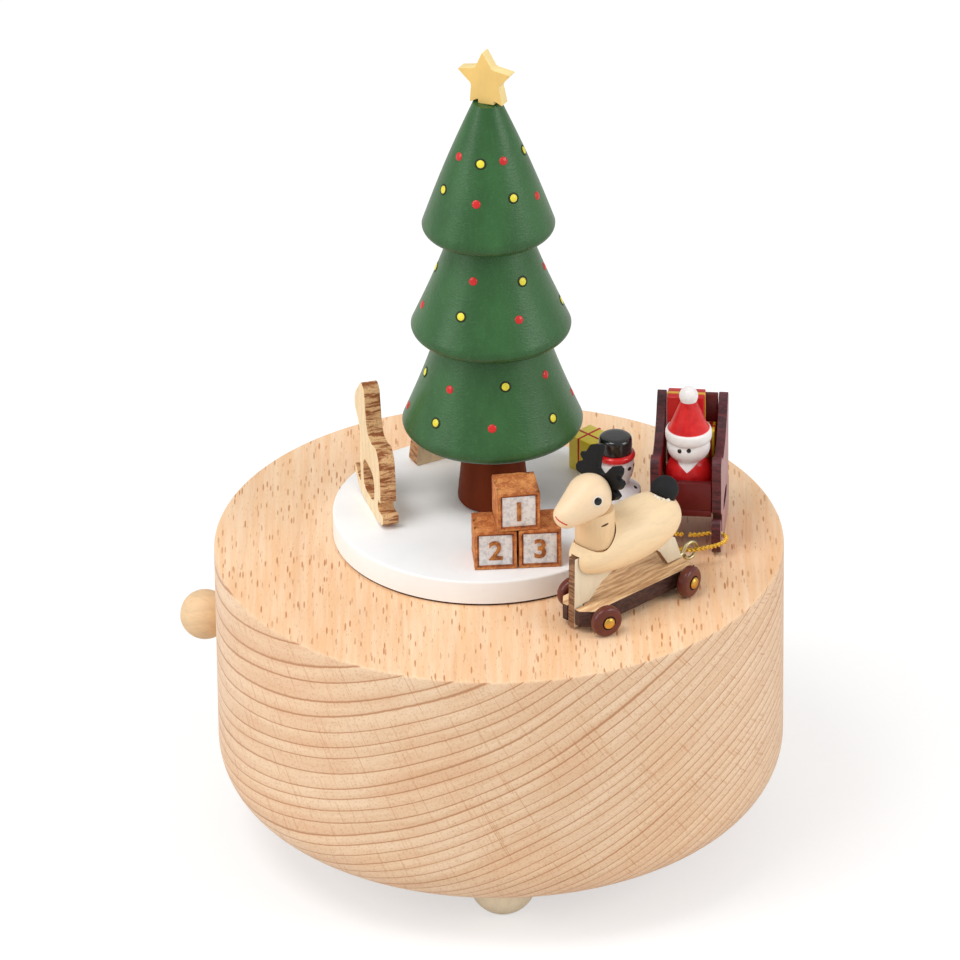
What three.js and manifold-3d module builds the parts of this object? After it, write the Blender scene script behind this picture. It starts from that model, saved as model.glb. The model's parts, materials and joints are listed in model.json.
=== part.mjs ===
// A wooden music box: a thick turned beech block on three ball feet, with a turned tree and small
// figures on a fixed round platform, and a reindeer on a wheeled board that tows a sleigh around it.
// A movement under the block turns a magnet arm, and the magnet drags the board round through the wood.
// Millimetres, +Z up. The origin is on the floor, at the middle of the whole object's outline.
import * as THREE from 'three';
import { mergeVertices } from 'three/addons/utils/BufferGeometryUtils.js';
import Module from 'manifold-3d';

const wasm = await Module();
wasm.setup();

// Clearances
const seatGap = 0.25;        // between a piece and the pocket or piece that it was glued or pressed into
const runGap = 0.4;          // between a turning piece and what it passes
const fineGap = 0.15;        // around nails, wires and arbors
const overrun = 1;           // how far a cutter passes the face that it cuts

// Turning centre of the cart, measured from the block's axis
const turnX = -2.7;
const turnY = 3.4;

// Platform and track
const platformRadius = 29.3;
const platformThickness = 5.25;
const platformEdge = 0.4;
const trackMargin = 9.95;    // platform edge to the cart's centre line
const trackRadius = platformRadius + trackMargin;
const cartAngle = -47.3 * Math.PI / 180;

// Feet
const footRadius = 6.5;
const footSole = 0.55;       // height of the ball that is flattened away
const footDrop = 2.8;        // block's underside above the ball's centre
const footInset = 0.2;       // cover left showing outside a foot
const footCount = 3;
const footHeight = footRadius - footSole + footDrop;

// Movement under the block
const coverThickness = 4;
const bedThickness = 1.5;
const barrelRadius = 10.4;
const barrelHeight = 9;
const barrelWall = 0.9;
const barrelTop = 1.2;
const arborRadius = 1.6;
const crownTeeth = 30;
const pinionTeeth = 9;
const crownPitch = 9;        // radius at the middle of the crown teeth
const crownFace = 1.4;       // width of the pinion that runs on the crown
const crownToothWidth = 0.72;
const addendum = 0.42;
const dedendum = 0.58;
const drumRadius = 5.5;
const drumLength = 16;
const drumPin = 0.5;
const drumPinWidth = 0.3;
const drumTracks = 18;
const drumPinsPerTrack = 1;
const pinStep = 137.5;       // degrees from one track's pin to the next
const drumArborRadius = 0.8;
const trainTeeth = 42;
const fanPinionTeeth = 7;
const trainPitch = 9.45;
const trainFace = 1;
const trainToothWidth = 0.54;
const fanRadius = 4.2;
const fanLength = 7;
const fanBlade = 0.5;
const fanArborRadius = 0.5;
const frameThickness = 1.2;
const frameMargin = 1.8;     // metal around the outermost bearing
const combTooth = 9;
const combBody = 4.5;
const combThickness = 1;
const combSlot = 0.35;
const combMargin = 1;
const springBand = 0.35;
const springTurns = 4;
const shaftRadius = 2.2;
const collarRadius = 5;
const collarHeight = 5;
const collarRise = 2.5;      // collar's underside above the drum's axis, less its own play
const hubRadius = 4.5;
const hubHeight = 6;
const armWidth = 5;
const armThickness = 2;
const magnetRadius = 3;
const magnetHeight = 3;
const magnetRim = 0.6;
const ceilingGap = 0.75;

// Block
const baseHeight = 52.25;
const topThickness = 3.25;
const baseWall = 7.41;
const edgeRound = 11;
const topEdge = 0.6;
const footRim = 1.25;        // least flat ring outside the cover
const ledgeWidth = 6.5;
const ledgeHeight = 4;
const coverScrewRadius = 1.1;
const coverScrewHead = 2.2;
const coverScrewHeadHeight = 1.4;
const coverScrewLength = 7.2;
const coverScrewCount = 3;

// Winding key
const keyWidth = 17;
const keyHeight = 6.2;
const keyThickness = 1.6;
const keyHub = 2.8;
const keyHole = 1.2;
const keyFloorGap = 1.25;

// Stop knob
const knobAngle = 156.9 * Math.PI / 180;
const knobHeight = 29.9;
const knobRadius = 4.95;
const knobBore = 2.35;
const knobRod = 2;
const knobTravel = 3.5;
const knobRodShare = 0.25;   // how far the rod passes the bead's middle, as a share of the bead's radius

// Tree, from the platform up
const treeX = -0.95;
const treeY = 6.9;
const trunkHeight = 16.5;
const trunkFoot = 6.9;
const trunkTop = 5.4;
const trunkRound = 1.3;
const tierRound = 1.5;
const treeRadius = 17.4;
const treeHeight = 69;       // of the green tiers
// Shares of the tree's radius, but height, which is a share of its height
const tierShares = [
  { name: 'tree_tier_bottom', radius: 1, top: 0.592, height: 0.301, sag: 0.017, side: 0 },
  { name: 'tree_tier_middle', radius: 0.885, top: 0.425, height: 0.312, sag: 0.017, side: -0.006 },
  { name: 'tree_tier_top', radius: 0.733, top: 0.138, height: 0.387, sag: -0.02, side: -0.023 },
];
const tipRadius = 1.7;
const tipHeight = 2.2;
const starOuter = 6;
const starInner = 3.1;
const starThickness = 2.2;
const starRise = 5.35;       // star's middle above the shoulder of the tip
const starTurn = -28 * Math.PI / 180;
const starLean = -4 * Math.PI / 180;

// Toys on the platform
const plyThickness = 3.2;
const horseX = -23.4;
const horseY = 4.3;
const horseTurn = 105.7 * Math.PI / 180;
const horseLength = 20;
const horseHeight = 25.2;
const blockSize = 8.25;
const blocksX = 3.3;
const blocksY = -16.7;
const blocksTurn = 4 * Math.PI / 180;
const topBlockTurn = 8 * Math.PI / 180;
const giftSide = 6;
const giftHeight = 7.2;
const giftX = 18;
const giftY = 19.2;
const giftTurn = 45 * Math.PI / 180;
const cottageX = -11.3;
const cottageY = 24.4;
const cottageTurn = 28 * Math.PI / 180;
const cottageWidth = 12;
const cottageHeight = 13;
const snowmanX = 22.6;
const snowmanY = 3;
const snowmanRadius = 5;
const snowmanHeight = 11.2;  // up to the hat
const hatRadius = 3.8;       // at the brim
const hatHeight = 5.7;

// Cart, in a frame whose +X is the way it rolls and +Y points away from the turning centre
const plankLength = 28.4;
const plankHalfWidth = 4.3;
const plankThickness = 3.25;
const plankTop = 4.75;
const plankChamfer = 2;
const wheelRadius = 3.1;
const wheelThickness = 2.2;
const wheelRound = 0.8;
const wheelSide = 6.25;      // wheel's middle from the cart's centre line
const axleHalfAngle = 13.47 * Math.PI / 180;
const nailRadius = 0.5;
const nailHead = 1.15;
const nailHeadHeight = 0.45;
const legPly = 1.7;
const legFront = 14.2;
const legFloorGap = 0.6;
const legTaper = 0.3;
const bodyFront = 13.2;
const bodyRear = 12.9;
const bodyFrontRadius = 5.2;
const bodyRearRadius = 6.4;
const bodyZ = 15.3;
const bodyTilt = 4.5 * Math.PI / 180;
const bodyFullness = 0.72;   // below 1 the body's ends are blunter than an egg's
const slotTop = 15.6;
const bellyTop = 11.6;       // top of the leg board inside the belly
const neckRadius = 3.8;
const neckX = 7.9;
const neckBottom = 16.4;
const neckTop = 24;
const headX = 9.3;
const headZ = 27.05;
const headRadius = 4.4;
const snoutRadius = 2.6;
const snoutReach = 6.1;
const headDrop = 17.5 * Math.PI / 180;
const antlerX = 5.3;
const antlerZ = 29.3;
const antlerReach = 6.4;
const antlerRise = 6.4;
const antlerPly = 1.5;
const antlerLean = 16 * Math.PI / 180;
const antlerRoll = -10 * Math.PI / 180;
const antlerNotch = 3.2;     // depth of the head's notch below the antlers' middle
const tailRadius = 2.7;
const tailX = -10.5;
const tailZ = 20.9;
const cartMagnetRadius = 3;
const cartMagnetHeight = 1;
const eyeX = -18.6;
const eyeSide = -1.4;
const eyeZ = 3.9;
const eyeRadius = 1.7;       // middle of the wire
const eyeWire = 0.38;
const eyeNeck = 2.3;         // ring's middle to where the wire straightens
const eyeShank = 3;          // length that is screwed into the board

// Sleigh, in a frame whose +X is the way it is towed, from the middle between the runner tips
const sleighOut = 0.74;      // middle of the runner tips outside the cart's centre line
const sleighAngle = -15.97 * Math.PI / 180;
const sleighHeading = -96 * Math.PI / 180;
const sleighLength = 20.4;
const sleighHeight = 26.4;
const sleighHalfWidth = 5.95; // middle of each side board
const sleighPly = 1.8;
const boardPly = 1.4;
const floorZ = 8;
const frontBoardBack = 1.7;
const frontBoardTop = 15.2;
const backBoardBack = 17.7;
const backBoardTop = 26;
const santaBack = 8.6;
const santaRadius = 4.6;
const santaHeight = 23.15;
const giftGap = 0.3;
const redGiftWidth = 7.2;
const redGiftTop = 27.5;
const yellowGiftTop = 20.5;
const cordRadius = 0.5;

// Points of the tow cord in the sleigh's frame, chosen along its real way: from the joint of its two ends
// round one runner, forward through the screw eye, round the other runner and back to the joint.
const cordPoints = [
  [-2.6, 0.5, 3.5], [-2.6, 2.5, 3.6], [-3.05, 4.9, 3.8], [-3.05, 6.6, 3.8], [-1.9, 7.75, 3.8],
  [0.6, 7.4, 3.8], [2.9, 4.6, 3.9], [4.1, 1.32, 3.9], [3.3, -2.2, 3.9], [0.6, -6.9, 3.8],
  [-1.9, -7.75, 3.8], [-3.05, -6.6, 3.8], [-3.05, -4.9, 3.8], [-2.6, -2.5, 3.6], [-2.6, -0.5, 3.5],
];

// Sizes worked out from the ones above
const turnOffset = Math.hypot(turnX, turnY);
const cavityRadius = turnOffset + trackRadius + magnetRadius + magnetRim + runGap;
const baseRadius = cavityRadius + baseWall;
const coverTopZ = footHeight + coverThickness;
const bedTopZ = coverTopZ + bedThickness;
const deckZ = footHeight + baseHeight;
const ceilingZ = deckZ - topThickness;
const barrelZ = bedTopZ + runGap;
const crownZ = barrelZ + barrelHeight;                 // root plane of the crown teeth
const crownPitchZ = crownZ + dedendum;
const pinionPitch = crownPitch * pinionTeeth / crownTeeth;
const drumZ = crownPitchZ + pinionPitch;
const frameNearX = barrelRadius + runGap;
const drumX = frameNearX + frameThickness + runGap;
const trainX = drumX + drumLength + runGap;
const frameFarX = trainX + trainFace + runGap;
const frameEndX = frameFarX + frameThickness;
const fanPinionPitch = trainPitch * fanPinionTeeth / trainTeeth;
const fanY = trainPitch + fanPinionPitch;
const combTipY = drumRadius + drumPin + fineGap;
const combEndY = combTipY + combTooth + combBody;
const bedFrontY = combEndY + frameMargin;
const bedBackY = fanY + frameMargin;
const bedEndX = frameEndX + frameMargin;
const mouthRadius = Math.hypot(turnX + bedEndX, turnY - bedFrontY) + runGap;
const rebateRadius = mouthRadius + ledgeWidth;
const coverRadius = rebateRadius - seatGap;
const lowerRound = Math.min(edgeRound, baseRadius - rebateRadius - footRim);
const footCircle = coverRadius - footInset - Math.sqrt(footRadius ** 2 - footDrop ** 2);
const screwCircle = mouthRadius + ledgeWidth / 2;
const magnetTopZ = ceilingZ - ceilingGap;
const armZ = magnetTopZ - magnetHeight - armThickness;
const collarZ = drumZ + collarRise - collarHeight / 2;
const springPitch = (barrelRadius - barrelWall - arborRadius - springBand - 2 * runGap) / springTurns;
const knobOut = knobTravel + runGap;                   // bead to wall when it is pulled out
const knobAside = turnX * Math.sin(knobAngle) - turnY * Math.cos(knobAngle);
const knobAlong = turnX * Math.cos(knobAngle) + turnY * Math.sin(knobAngle);
const wallReach = Math.sqrt(baseRadius ** 2 - knobAside ** 2) - knobAlong;
const knobReach = wallReach + knobOut + knobRadius;    // bead's middle from the turning centre
const plankBottom = plankTop - plankThickness;
const wheelReach = (trackRadius + wheelSide) / Math.cos(axleHalfAngle);
const innerWheelReach = (trackRadius - wheelSide) / Math.cos(axleHalfAngle);

// Materials: one for each piece
function finish(color, roughness, metalness = 0) {
  return new THREE.MeshStandardMaterial({ color, roughness, metalness });
}

const beech = () => finish(0xe8c8a0, 0.62);
const paleWood = () => finish(0xf0d9b0, 0.6);
const greenPaint = () => finish(0x2f6b3a, 0.35);
const steel = () => finish(0xa8aaac, 0.35, 1);
const brass = () => finish(0xc9a04a, 0.32, 1);
const burntPly = () => finish(0xa86a35, 0.75);
const darkRed = () => finish(0x5a1217, 0.5);

// Solids and pieces
function solidOf(geometry) {
  const bare = geometry.index ? geometry.toNonIndexed() : geometry.clone();
  bare.deleteAttribute('normal');
  bare.deleteAttribute('uv');
  const merged = mergeVertices(bare, 1e-4);
  const index = merged.index.array;
  const kept = [];
  for (let i = 0; i < index.length; i += 3) {
    const [a, b, c] = [index[i], index[i + 1], index[i + 2]];
    if (a !== b && b !== c && c !== a) kept.push(a, b, c);
  }
  const mesh = new wasm.Mesh({
    numProp: 3,
    vertProperties: new Float32Array(merged.attributes.position.array),
    triVerts: new Uint32Array(kept),
  });
  return new wasm.Manifold(mesh);
}

function geometryOf(solid) {
  const mesh = solid.getMesh();
  const geometry = new THREE.BufferGeometry();
  geometry.setAttribute('position', new THREE.BufferAttribute(new Float32Array(mesh.vertProperties), 3));
  geometry.setIndex(new THREE.BufferAttribute(new Uint32Array(mesh.triVerts), 1));
  geometry.computeVertexNormals();
  return geometry;
}

function piece(parent, name, solid, material, x = 0, y = 0, z = 0, turn = 0) {
  const mesh = new THREE.Mesh(geometryOf(solid), material);
  mesh.name = name;
  mesh.position.set(x, y, z);
  mesh.rotation.z = turn;
  parent.add(mesh);
  return mesh;
}

function groupAt(parent, x, y, z, turn = 0) {
  const group = new THREE.Group();
  group.position.set(x, y, z);
  group.rotation.z = turn;
  parent.add(group);
  return group;
}

// Points of an arc about (cx, cy), both ends included
function arc(cx, cy, radius, from, to, steps) {
  const points = [];
  for (let i = 0; i <= steps; i += 1) {
    const angle = from + (to - from) * i / steps;
    points.push([cx + radius * Math.cos(angle), cy + radius * Math.sin(angle)]);
  }
  return points;
}

function signedArea(points) {
  let sum = 0;
  points.forEach(([x, y], i) => {
    const [nextX, nextY] = points[(i + 1) % points.length];
    sum += x * nextY - nextX * y;
  });
  return sum / 2;
}

// A turned solid from [radius, height] points that close on themselves
function turned(points, segments) {
  const ordered = signedArea(points) > 0 ? points : [...points].reverse();
  const outline = ordered.map(([r, z]) => new THREE.Vector2(Math.max(r, 0), z));
  outline.push(outline[0].clone());
  return solidOf(new THREE.LatheGeometry(outline, segments).rotateX(Math.PI / 2));
}

// A board cut to an outline of [x, y] points, standing on z = 0
function board(points, thickness, holes = []) {
  const ordered = signedArea(points) > 0 ? points : [...points].reverse();
  const shape = new THREE.Shape(ordered.map(([x, y]) => new THREE.Vector2(x, y)));
  const whole = solidOf(new THREE.ExtrudeGeometry(shape, { depth: thickness, bevelEnabled: false }));
  return holes.reduce((rest, hole) => (
    rest.subtract(board(hole, thickness + 2 * overrun).translate([0, 0, -overrun]))
  ), whole);
}

// The same board stood upright: outline x stays x, outline y becomes z, thickness centred on y = 0
function uprightBoard(points, thickness, holes = []) {
  return board(points, thickness, holes).rotate([90, 0, 0]).translate([0, thickness / 2, 0]);
}

function box(x0, x1, y0, y1, z0, z1) {
  const geometry = new THREE.BoxGeometry(x1 - x0, y1 - y0, z1 - z0);
  return solidOf(geometry.translate((x0 + x1) / 2, (y0 + y1) / 2, (z0 + z1) / 2));
}

function rod(radius, z0, z1, segments) {
  return turned([[0, z0], [radius, z0], [radius, z1], [0, z1]], segments);
}

function ball(radius, columns, rows) {
  return turned(arc(0, 0, radius, -Math.PI / 2, Math.PI / 2, rows), columns);
}

// Lays a solid that was built along +Z so that its +Z points along +X
const alongX = (solid) => solid.rotate([0, 90, 0]);

function spline(points, steps) {
  const places = points.map(([x, y]) => new THREE.Vector3(x, y, 0));
  const curve = new THREE.CatmullRomCurve3(places, false, 'centripetal');
  return curve.getPoints(steps).map((p) => [p.x, p.y]);
}

const unite = (solids) => solids.reduce((sum, solid) => sum.add(solid));

// A gear or pinion with straight-sided teeth, on z = 0; a tooth or a gap faces +X
const toothRootShare = 1.45;
const toothTipShare = 0.55;
function gearOutline(teeth, pitch, toothWidth, toothFirst) {
  const points = [];
  const root = pitch - dedendum;
  const tip = pitch + addendum;
  const half = toothWidth / 2;
  const offset = toothFirst ? 0 : 0.5;
  for (let i = 0; i < teeth; i += 1) {
    const middle = (i + offset) * 2 * Math.PI / teeth;
    const spot = (radius, side) => {
      const angle = middle + side / radius;
      return [radius * Math.cos(angle), radius * Math.sin(angle)];
    };
    const low = half * toothRootShare;
    const high = half * toothTipShare;
    points.push(spot(root, -low), spot(tip, -high), spot(tip, high), spot(root, low));
  }
  return points;
}

const knobWay = [Math.cos(knobAngle), Math.sin(knobAngle)];

// Turns a solid built along +Z so that its +Z points outwards along the knob's rod
const alongKnob = (solid) => alongX(solid).rotate([0, 0, knobAngle * 180 / Math.PI]);

function spread(count, radius, firstDegrees) {
  const places = [];
  for (let i = 0; i < count; i += 1) {
    const angle = firstDegrees * Math.PI / 180 + i * 2 * Math.PI / count;
    places.push([radius * Math.cos(angle), radius * Math.sin(angle)]);
  }
  return places;
}

// Block, cover, feet and screws, in a frame on the floor at the block's axis
function addCase(parent) {
  const ledgeZ = coverTopZ + ledgeHeight;
  const profile = [
    [rebateRadius, footHeight],
    ...arc(baseRadius - lowerRound, footHeight + lowerRound, lowerRound, -Math.PI / 2, 0, 6),
    ...arc(baseRadius - topEdge, deckZ - topEdge, topEdge, 0, Math.PI / 2, 2),
    [0, deckZ],
    [0, ceilingZ],
    [cavityRadius, ceilingZ],
    [cavityRadius, ledgeZ],
    [mouthRadius, ledgeZ],
    [mouthRadius, coverTopZ],
    [rebateRadius, coverTopZ],
  ];
  const rodHole = alongKnob(rod(knobRod + seatGap, cavityRadius - turnOffset - overrun, knobReach, 20))
    .translate([turnX, turnY, knobHeight]);
  const screwPlaces = spread(coverScrewCount, screwCircle, 90);
  const screwHoleTop = footHeight + coverScrewLength + seatGap;
  let block = turned(profile, 56).subtract(rodHole);
  const headTopZ = footHeight + coverScrewHeadHeight;
  let cover = rod(coverRadius, footHeight, coverTopZ, 48);
  cover = cover.subtract(rod(arborRadius + runGap, footHeight - overrun, coverTopZ + overrun, 16)
    .translate([turnX, turnY, 0]));
  const sink = coverScrewHead - coverScrewRadius;
  screwPlaces.forEach(([x, y], i) => {
    const screwHole = rod(coverScrewRadius + fineGap, footHeight, screwHoleTop, 12);
    block = block.subtract(screwHole.translate([x, y, 0]));
    const clearance = turned([
      [0, footHeight - overrun],
      [coverScrewHead + fineGap, footHeight - overrun],
      [coverScrewHead + fineGap, footHeight],
      [coverScrewRadius + fineGap, footHeight + sink + seatGap],
      [coverScrewRadius + fineGap, coverTopZ + overrun],
      [0, coverTopZ + overrun],
    ], 16);
    cover = cover.subtract(clearance.translate([x, y, 0]));
    const screw = turned([
      [0, footHeight],
      [coverScrewHead, footHeight],
      [coverScrewRadius, footHeight + sink],
      [coverScrewRadius, footHeight + coverScrewLength],
      [0, footHeight + coverScrewLength],
    ], 16);
    const slot = box(-coverScrewHead, coverScrewHead, -fineGap, fineGap, footHeight - overrun,
      (footHeight + headTopZ) / 2 - fineGap);
    piece(parent, `cover_screw_${i + 1}`, screw.subtract(slot), steel(), x, y, 0);
  });
  piece(parent, 'base_block', block, beech());
  piece(parent, 'bottom_cover', cover, finish(0xd9b98c, 0.7));
  const centreZ = footRadius - footSole;
  const lowAngle = -Math.asin(centreZ / footRadius);
  const highAngle = Math.asin(footDrop / footRadius);
  const foot = turned([[0, 0], ...arc(0, centreZ, footRadius, lowAngle, highAngle, 9), [0, footHeight]], 20);
  spread(footCount, footCircle, -90).forEach(([x, y], i) => {
    piece(parent, `foot_${i + 1}`, foot, paleWood(), x, y, 0);
  });
}

// Mainspring, a flat band wound in a spiral, between the arbor and the barrel's wall
function springSolid() {
  const steps = springTurns * 16;
  const start = arborRadius + runGap;
  const inner = [];
  const outer = [];
  for (let i = 0; i <= steps; i += 1) {
    const angle = 2 * Math.PI * springTurns * i / steps;
    const radius = start + springPitch * springTurns * i / steps;
    inner.push([radius * Math.cos(angle), radius * Math.sin(angle)]);
    outer.push([(radius + springBand) * Math.cos(angle), (radius + springBand) * Math.sin(angle)]);
  }
  return board([...outer, ...inner.reverse()], barrelHeight - barrelTop - 2 * runGap);
}

// Everything that turns or stands round the spindle, in a frame at the turning centre on the floor
function addMovement(parent) {
  const bed = box(-barrelRadius - frameMargin, bedEndX, -bedFrontY, bedBackY, coverTopZ, bedTopZ);
  const bedHole = rod(arborRadius + runGap, coverTopZ - overrun, bedTopZ + overrun, 16);
  piece(parent, 'bedplate', bed.subtract(bedHole), steel());

  const barrelInner = barrelRadius - barrelWall;
  const teeth = [];
  const toothHeight = dedendum + addendum;
  const toothIn = crownPitch - crownFace;
  const toothOut = barrelRadius;
  const half = crownToothWidth / crownPitch / 2;
  for (let i = 0; i < crownTeeth; i += 1) {
    const low = half * toothRootShare;
    const high = half * toothTipShare;
    const tooth = new THREE.BoxGeometry(toothOut - toothIn, toothHeight, toothHeight);
    const place = tooth.attributes.position;
    for (let j = 0; j < place.count; j += 1) {
      const radius = place.getX(j) > 0 ? toothOut : toothIn;
      const top = place.getZ(j) > 0;
      const side = Math.sign(place.getY(j)) * (top ? high : low) + i * 2 * Math.PI / crownTeeth;
      place.setXYZ(j, radius * Math.cos(side), radius * Math.sin(side), top ? toothHeight : -seatGap);
    }
    teeth.push(solidOf(tooth).translate([0, 0, crownZ]));
  }
  const cup = turned([
    [arborRadius + runGap, crownZ - barrelTop],
    [barrelInner, crownZ - barrelTop],
    [barrelInner, barrelZ],
    [barrelRadius, barrelZ],
    [barrelRadius, crownZ],
    [arborRadius + runGap, crownZ],
  ], 40);
  piece(parent, 'spring_barrel', unite([cup, ...teeth]), brass());
  piece(parent, 'mainspring', springSolid(), steel(), 0, 0, barrelZ + runGap);

  const shaftTopZ = armZ + armThickness;
  const arborTopZ = crownZ - fineGap;
  const shaft = turned([
    [0, crownZ],
    [crownPitch - crownFace - runGap, crownZ],
    [crownPitch - crownFace - runGap, crownZ + addendum],
    [shaftRadius, crownZ + 2 * addendum],
    [shaftRadius, collarZ],
    [collarRadius, collarZ],
    [collarRadius, collarZ + collarHeight],
    [shaftRadius, collarZ + collarHeight],
    [shaftRadius, shaftTopZ],
    [0, shaftTopZ],
  ], 24);
  piece(parent, 'spindle_shaft', shaft, steel());

  const hub = rod(hubRadius, shaftTopZ - hubHeight, shaftTopZ, 24);
  const bar = box(0, trackRadius, -armWidth / 2, armWidth / 2, armZ, armZ + armThickness);
  const armEnd = rod(magnetRadius + magnetRim, armZ, shaftTopZ, 24).translate([trackRadius, 0, 0]);
  const bore = rod(shaftRadius + fineGap, armZ - hubHeight, shaftTopZ + overrun, 24);
  const arm = unite([hub, bar, armEnd]).subtract(bore);
  piece(parent, 'magnet_arm', arm, finish(0xd8d6cf, 0.5), 0, 0, 0, cartAngle);
  const drive = rod(magnetRadius, shaftTopZ, magnetTopZ, 24).translate([trackRadius, 0, 0]);
  piece(parent, 'drive_magnet', drive, finish(0x8f9296, 0.3, 1), 0, 0, 0, cartAngle);

  const keyZ = keyFloorGap + keyHeight / 2;
  const wingHole = keyWidth / 2 - keyHeight / 2;
  const wing = uprightBoard([
    ...arc(wingHole, keyZ, keyHeight / 2, -Math.PI / 2, Math.PI / 2, 8),
    ...arc(-wingHole, keyZ, keyHeight / 2, Math.PI / 2, 1.5 * Math.PI, 8),
  ], keyThickness);
  const hole = rod(keyHole, -keyThickness, keyThickness, 12).rotate([90, 0, 0]).translate([0, 0, keyZ]);
  const holeAt = (x) => hole.translate([x, 0, 0]);
  const keySolid = unite([
    wing,
    rod(keyHub, keyZ, footHeight - runGap, 20),
    rod(arborRadius, keyZ, arborTopZ, 16),
  ]);
  const key = keySolid.subtract(holeAt(wingHole)).subtract(holeAt(-wingHole));
  piece(parent, 'winding_key', key, brass());
}

// Music cylinder with its pins, pinion and train gear; governor fan; comb and frames
function addCylinder(parent) {
  const arborFrom = crownPitch - crownFace - runGap / 2;
  const pinion = board(gearOutline(pinionTeeth, pinionPitch, crownToothWidth, false), crownFace);
  const gear = board(gearOutline(trainTeeth, trainPitch, trainToothWidth, true), trainFace);
  const drumPins = [];
  for (let track = 0; track < drumTracks; track += 1) {
    for (let k = 0; k < drumPinsPerTrack; k += 1) {
      const angle = track * pinStep + k * 360 / drumPinsPerTrack;
      const z = (track + 0.5) * drumLength / drumTracks;
      const pin = box(drumRadius - drumPin, drumRadius + drumPin, -drumPinWidth / 2, drumPinWidth / 2,
        z - drumPinWidth / 2, z + drumPinWidth / 2);
      drumPins.push(pin.rotate([0, 0, angle]).translate([0, 0, drumX]));
    }
  }
  // built along +Z with the teeth's +X turned to face down or to the fan, then laid along +X
  const cylinder = unite([
    rod(drumArborRadius, arborFrom, frameEndX, 12),
    rod(drumRadius, drumX, drumX + drumLength, 24),
    ...drumPins,
    pinion.translate([0, 0, crownPitch - crownFace / 2]),
    gear.rotate([0, 0, 90]).translate([0, 0, trainX]),
  ]);
  piece(parent, 'music_cylinder', alongX(cylinder), brass(), 0, 0, drumZ);

  const fanX = drumX + drumLength / 2;
  const fanPinion = board(gearOutline(fanPinionTeeth, fanPinionPitch, trainToothWidth, false), trainFace);
  const fan = unite([
    rod(fanArborRadius, frameNearX, frameEndX, 10),
    fanPinion.rotate([0, 0, -90]).translate([0, 0, trainX]),
    box(-fanRadius, fanRadius, -fanBlade / 2, fanBlade / 2, fanX, fanX + fanLength),
  ]);
  piece(parent, 'governor_fan', alongX(fan), finish(0xd8d2c0, 0.5), 0, fanY, drumZ);

  const frameTopZ = drumZ + frameMargin;
  const wall = (x0) => box(x0, x0 + frameThickness, -frameMargin, bedBackY, bedTopZ, frameTopZ);
  const boreAt = (radius, y) => alongX(rod(radius + fineGap, 0, bedEndX, 16)).translate([0, y, drumZ]);
  const drumBore = boreAt(drumArborRadius, 0);
  const fanBore = boreAt(fanArborRadius, fanY);
  const sillTopZ = bedTopZ + frameThickness;
  const sill = box(frameNearX, frameEndX, bedBackY - frameMargin, bedBackY, bedTopZ, sillTopZ);
  const frame = unite([wall(frameNearX), wall(frameFarX), sill]).subtract(drumBore).subtract(fanBore);
  piece(parent, 'bearing_frame', frame, brass());

  const combZ = drumZ - combThickness / 2;
  const pitch = drumLength / drumTracks;
  const combFrom = drumX - combMargin;
  const combTo = drumX + drumLength + combMargin;
  const combRootY = -combTipY - combTooth;
  const outline = [[combFrom, -combEndY], [combTo, -combEndY], [combTo, combRootY]];
  for (let track = drumTracks - 1; track >= 0; track -= 1) {
    const right = drumX + (track + 1) * pitch - combSlot / 2;
    const left = drumX + track * pitch + combSlot / 2;
    outline.push([right, combRootY], [right, -combTipY], [left, -combTipY], [left, combRootY]);
  }
  outline.push([combFrom, combRootY]);
  piece(parent, 'comb', board(outline, combThickness), steel(), 0, 0, combZ);
  const bridge = box(combFrom, combTo, -combEndY, combRootY - combMargin, bedTopZ, combZ);
  piece(parent, 'comb_bridge', bridge, brass());
}

// Bead and rod of the stop knob, built along +Z from the turning centre
function addKnob(parent) {
  const beadSolid = ball(knobRadius, 20, 10)
    .subtract(rod(knobBore, -knobRadius - overrun, knobRadius + overrun, 20))
    .translate([0, 0, knobReach]);
  const rodStart = collarRadius + knobTravel + runGap;
  const rodSolid = rod(knobRod, rodStart, knobReach + knobRadius * knobRodShare, 20);
  piece(parent, 'knob_bead', alongKnob(beadSolid), paleWood(), 0, 0, knobHeight);
  piece(parent, 'knob_rod', alongKnob(rodSolid), paleWood(), 0, 0, knobHeight);
}

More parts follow.
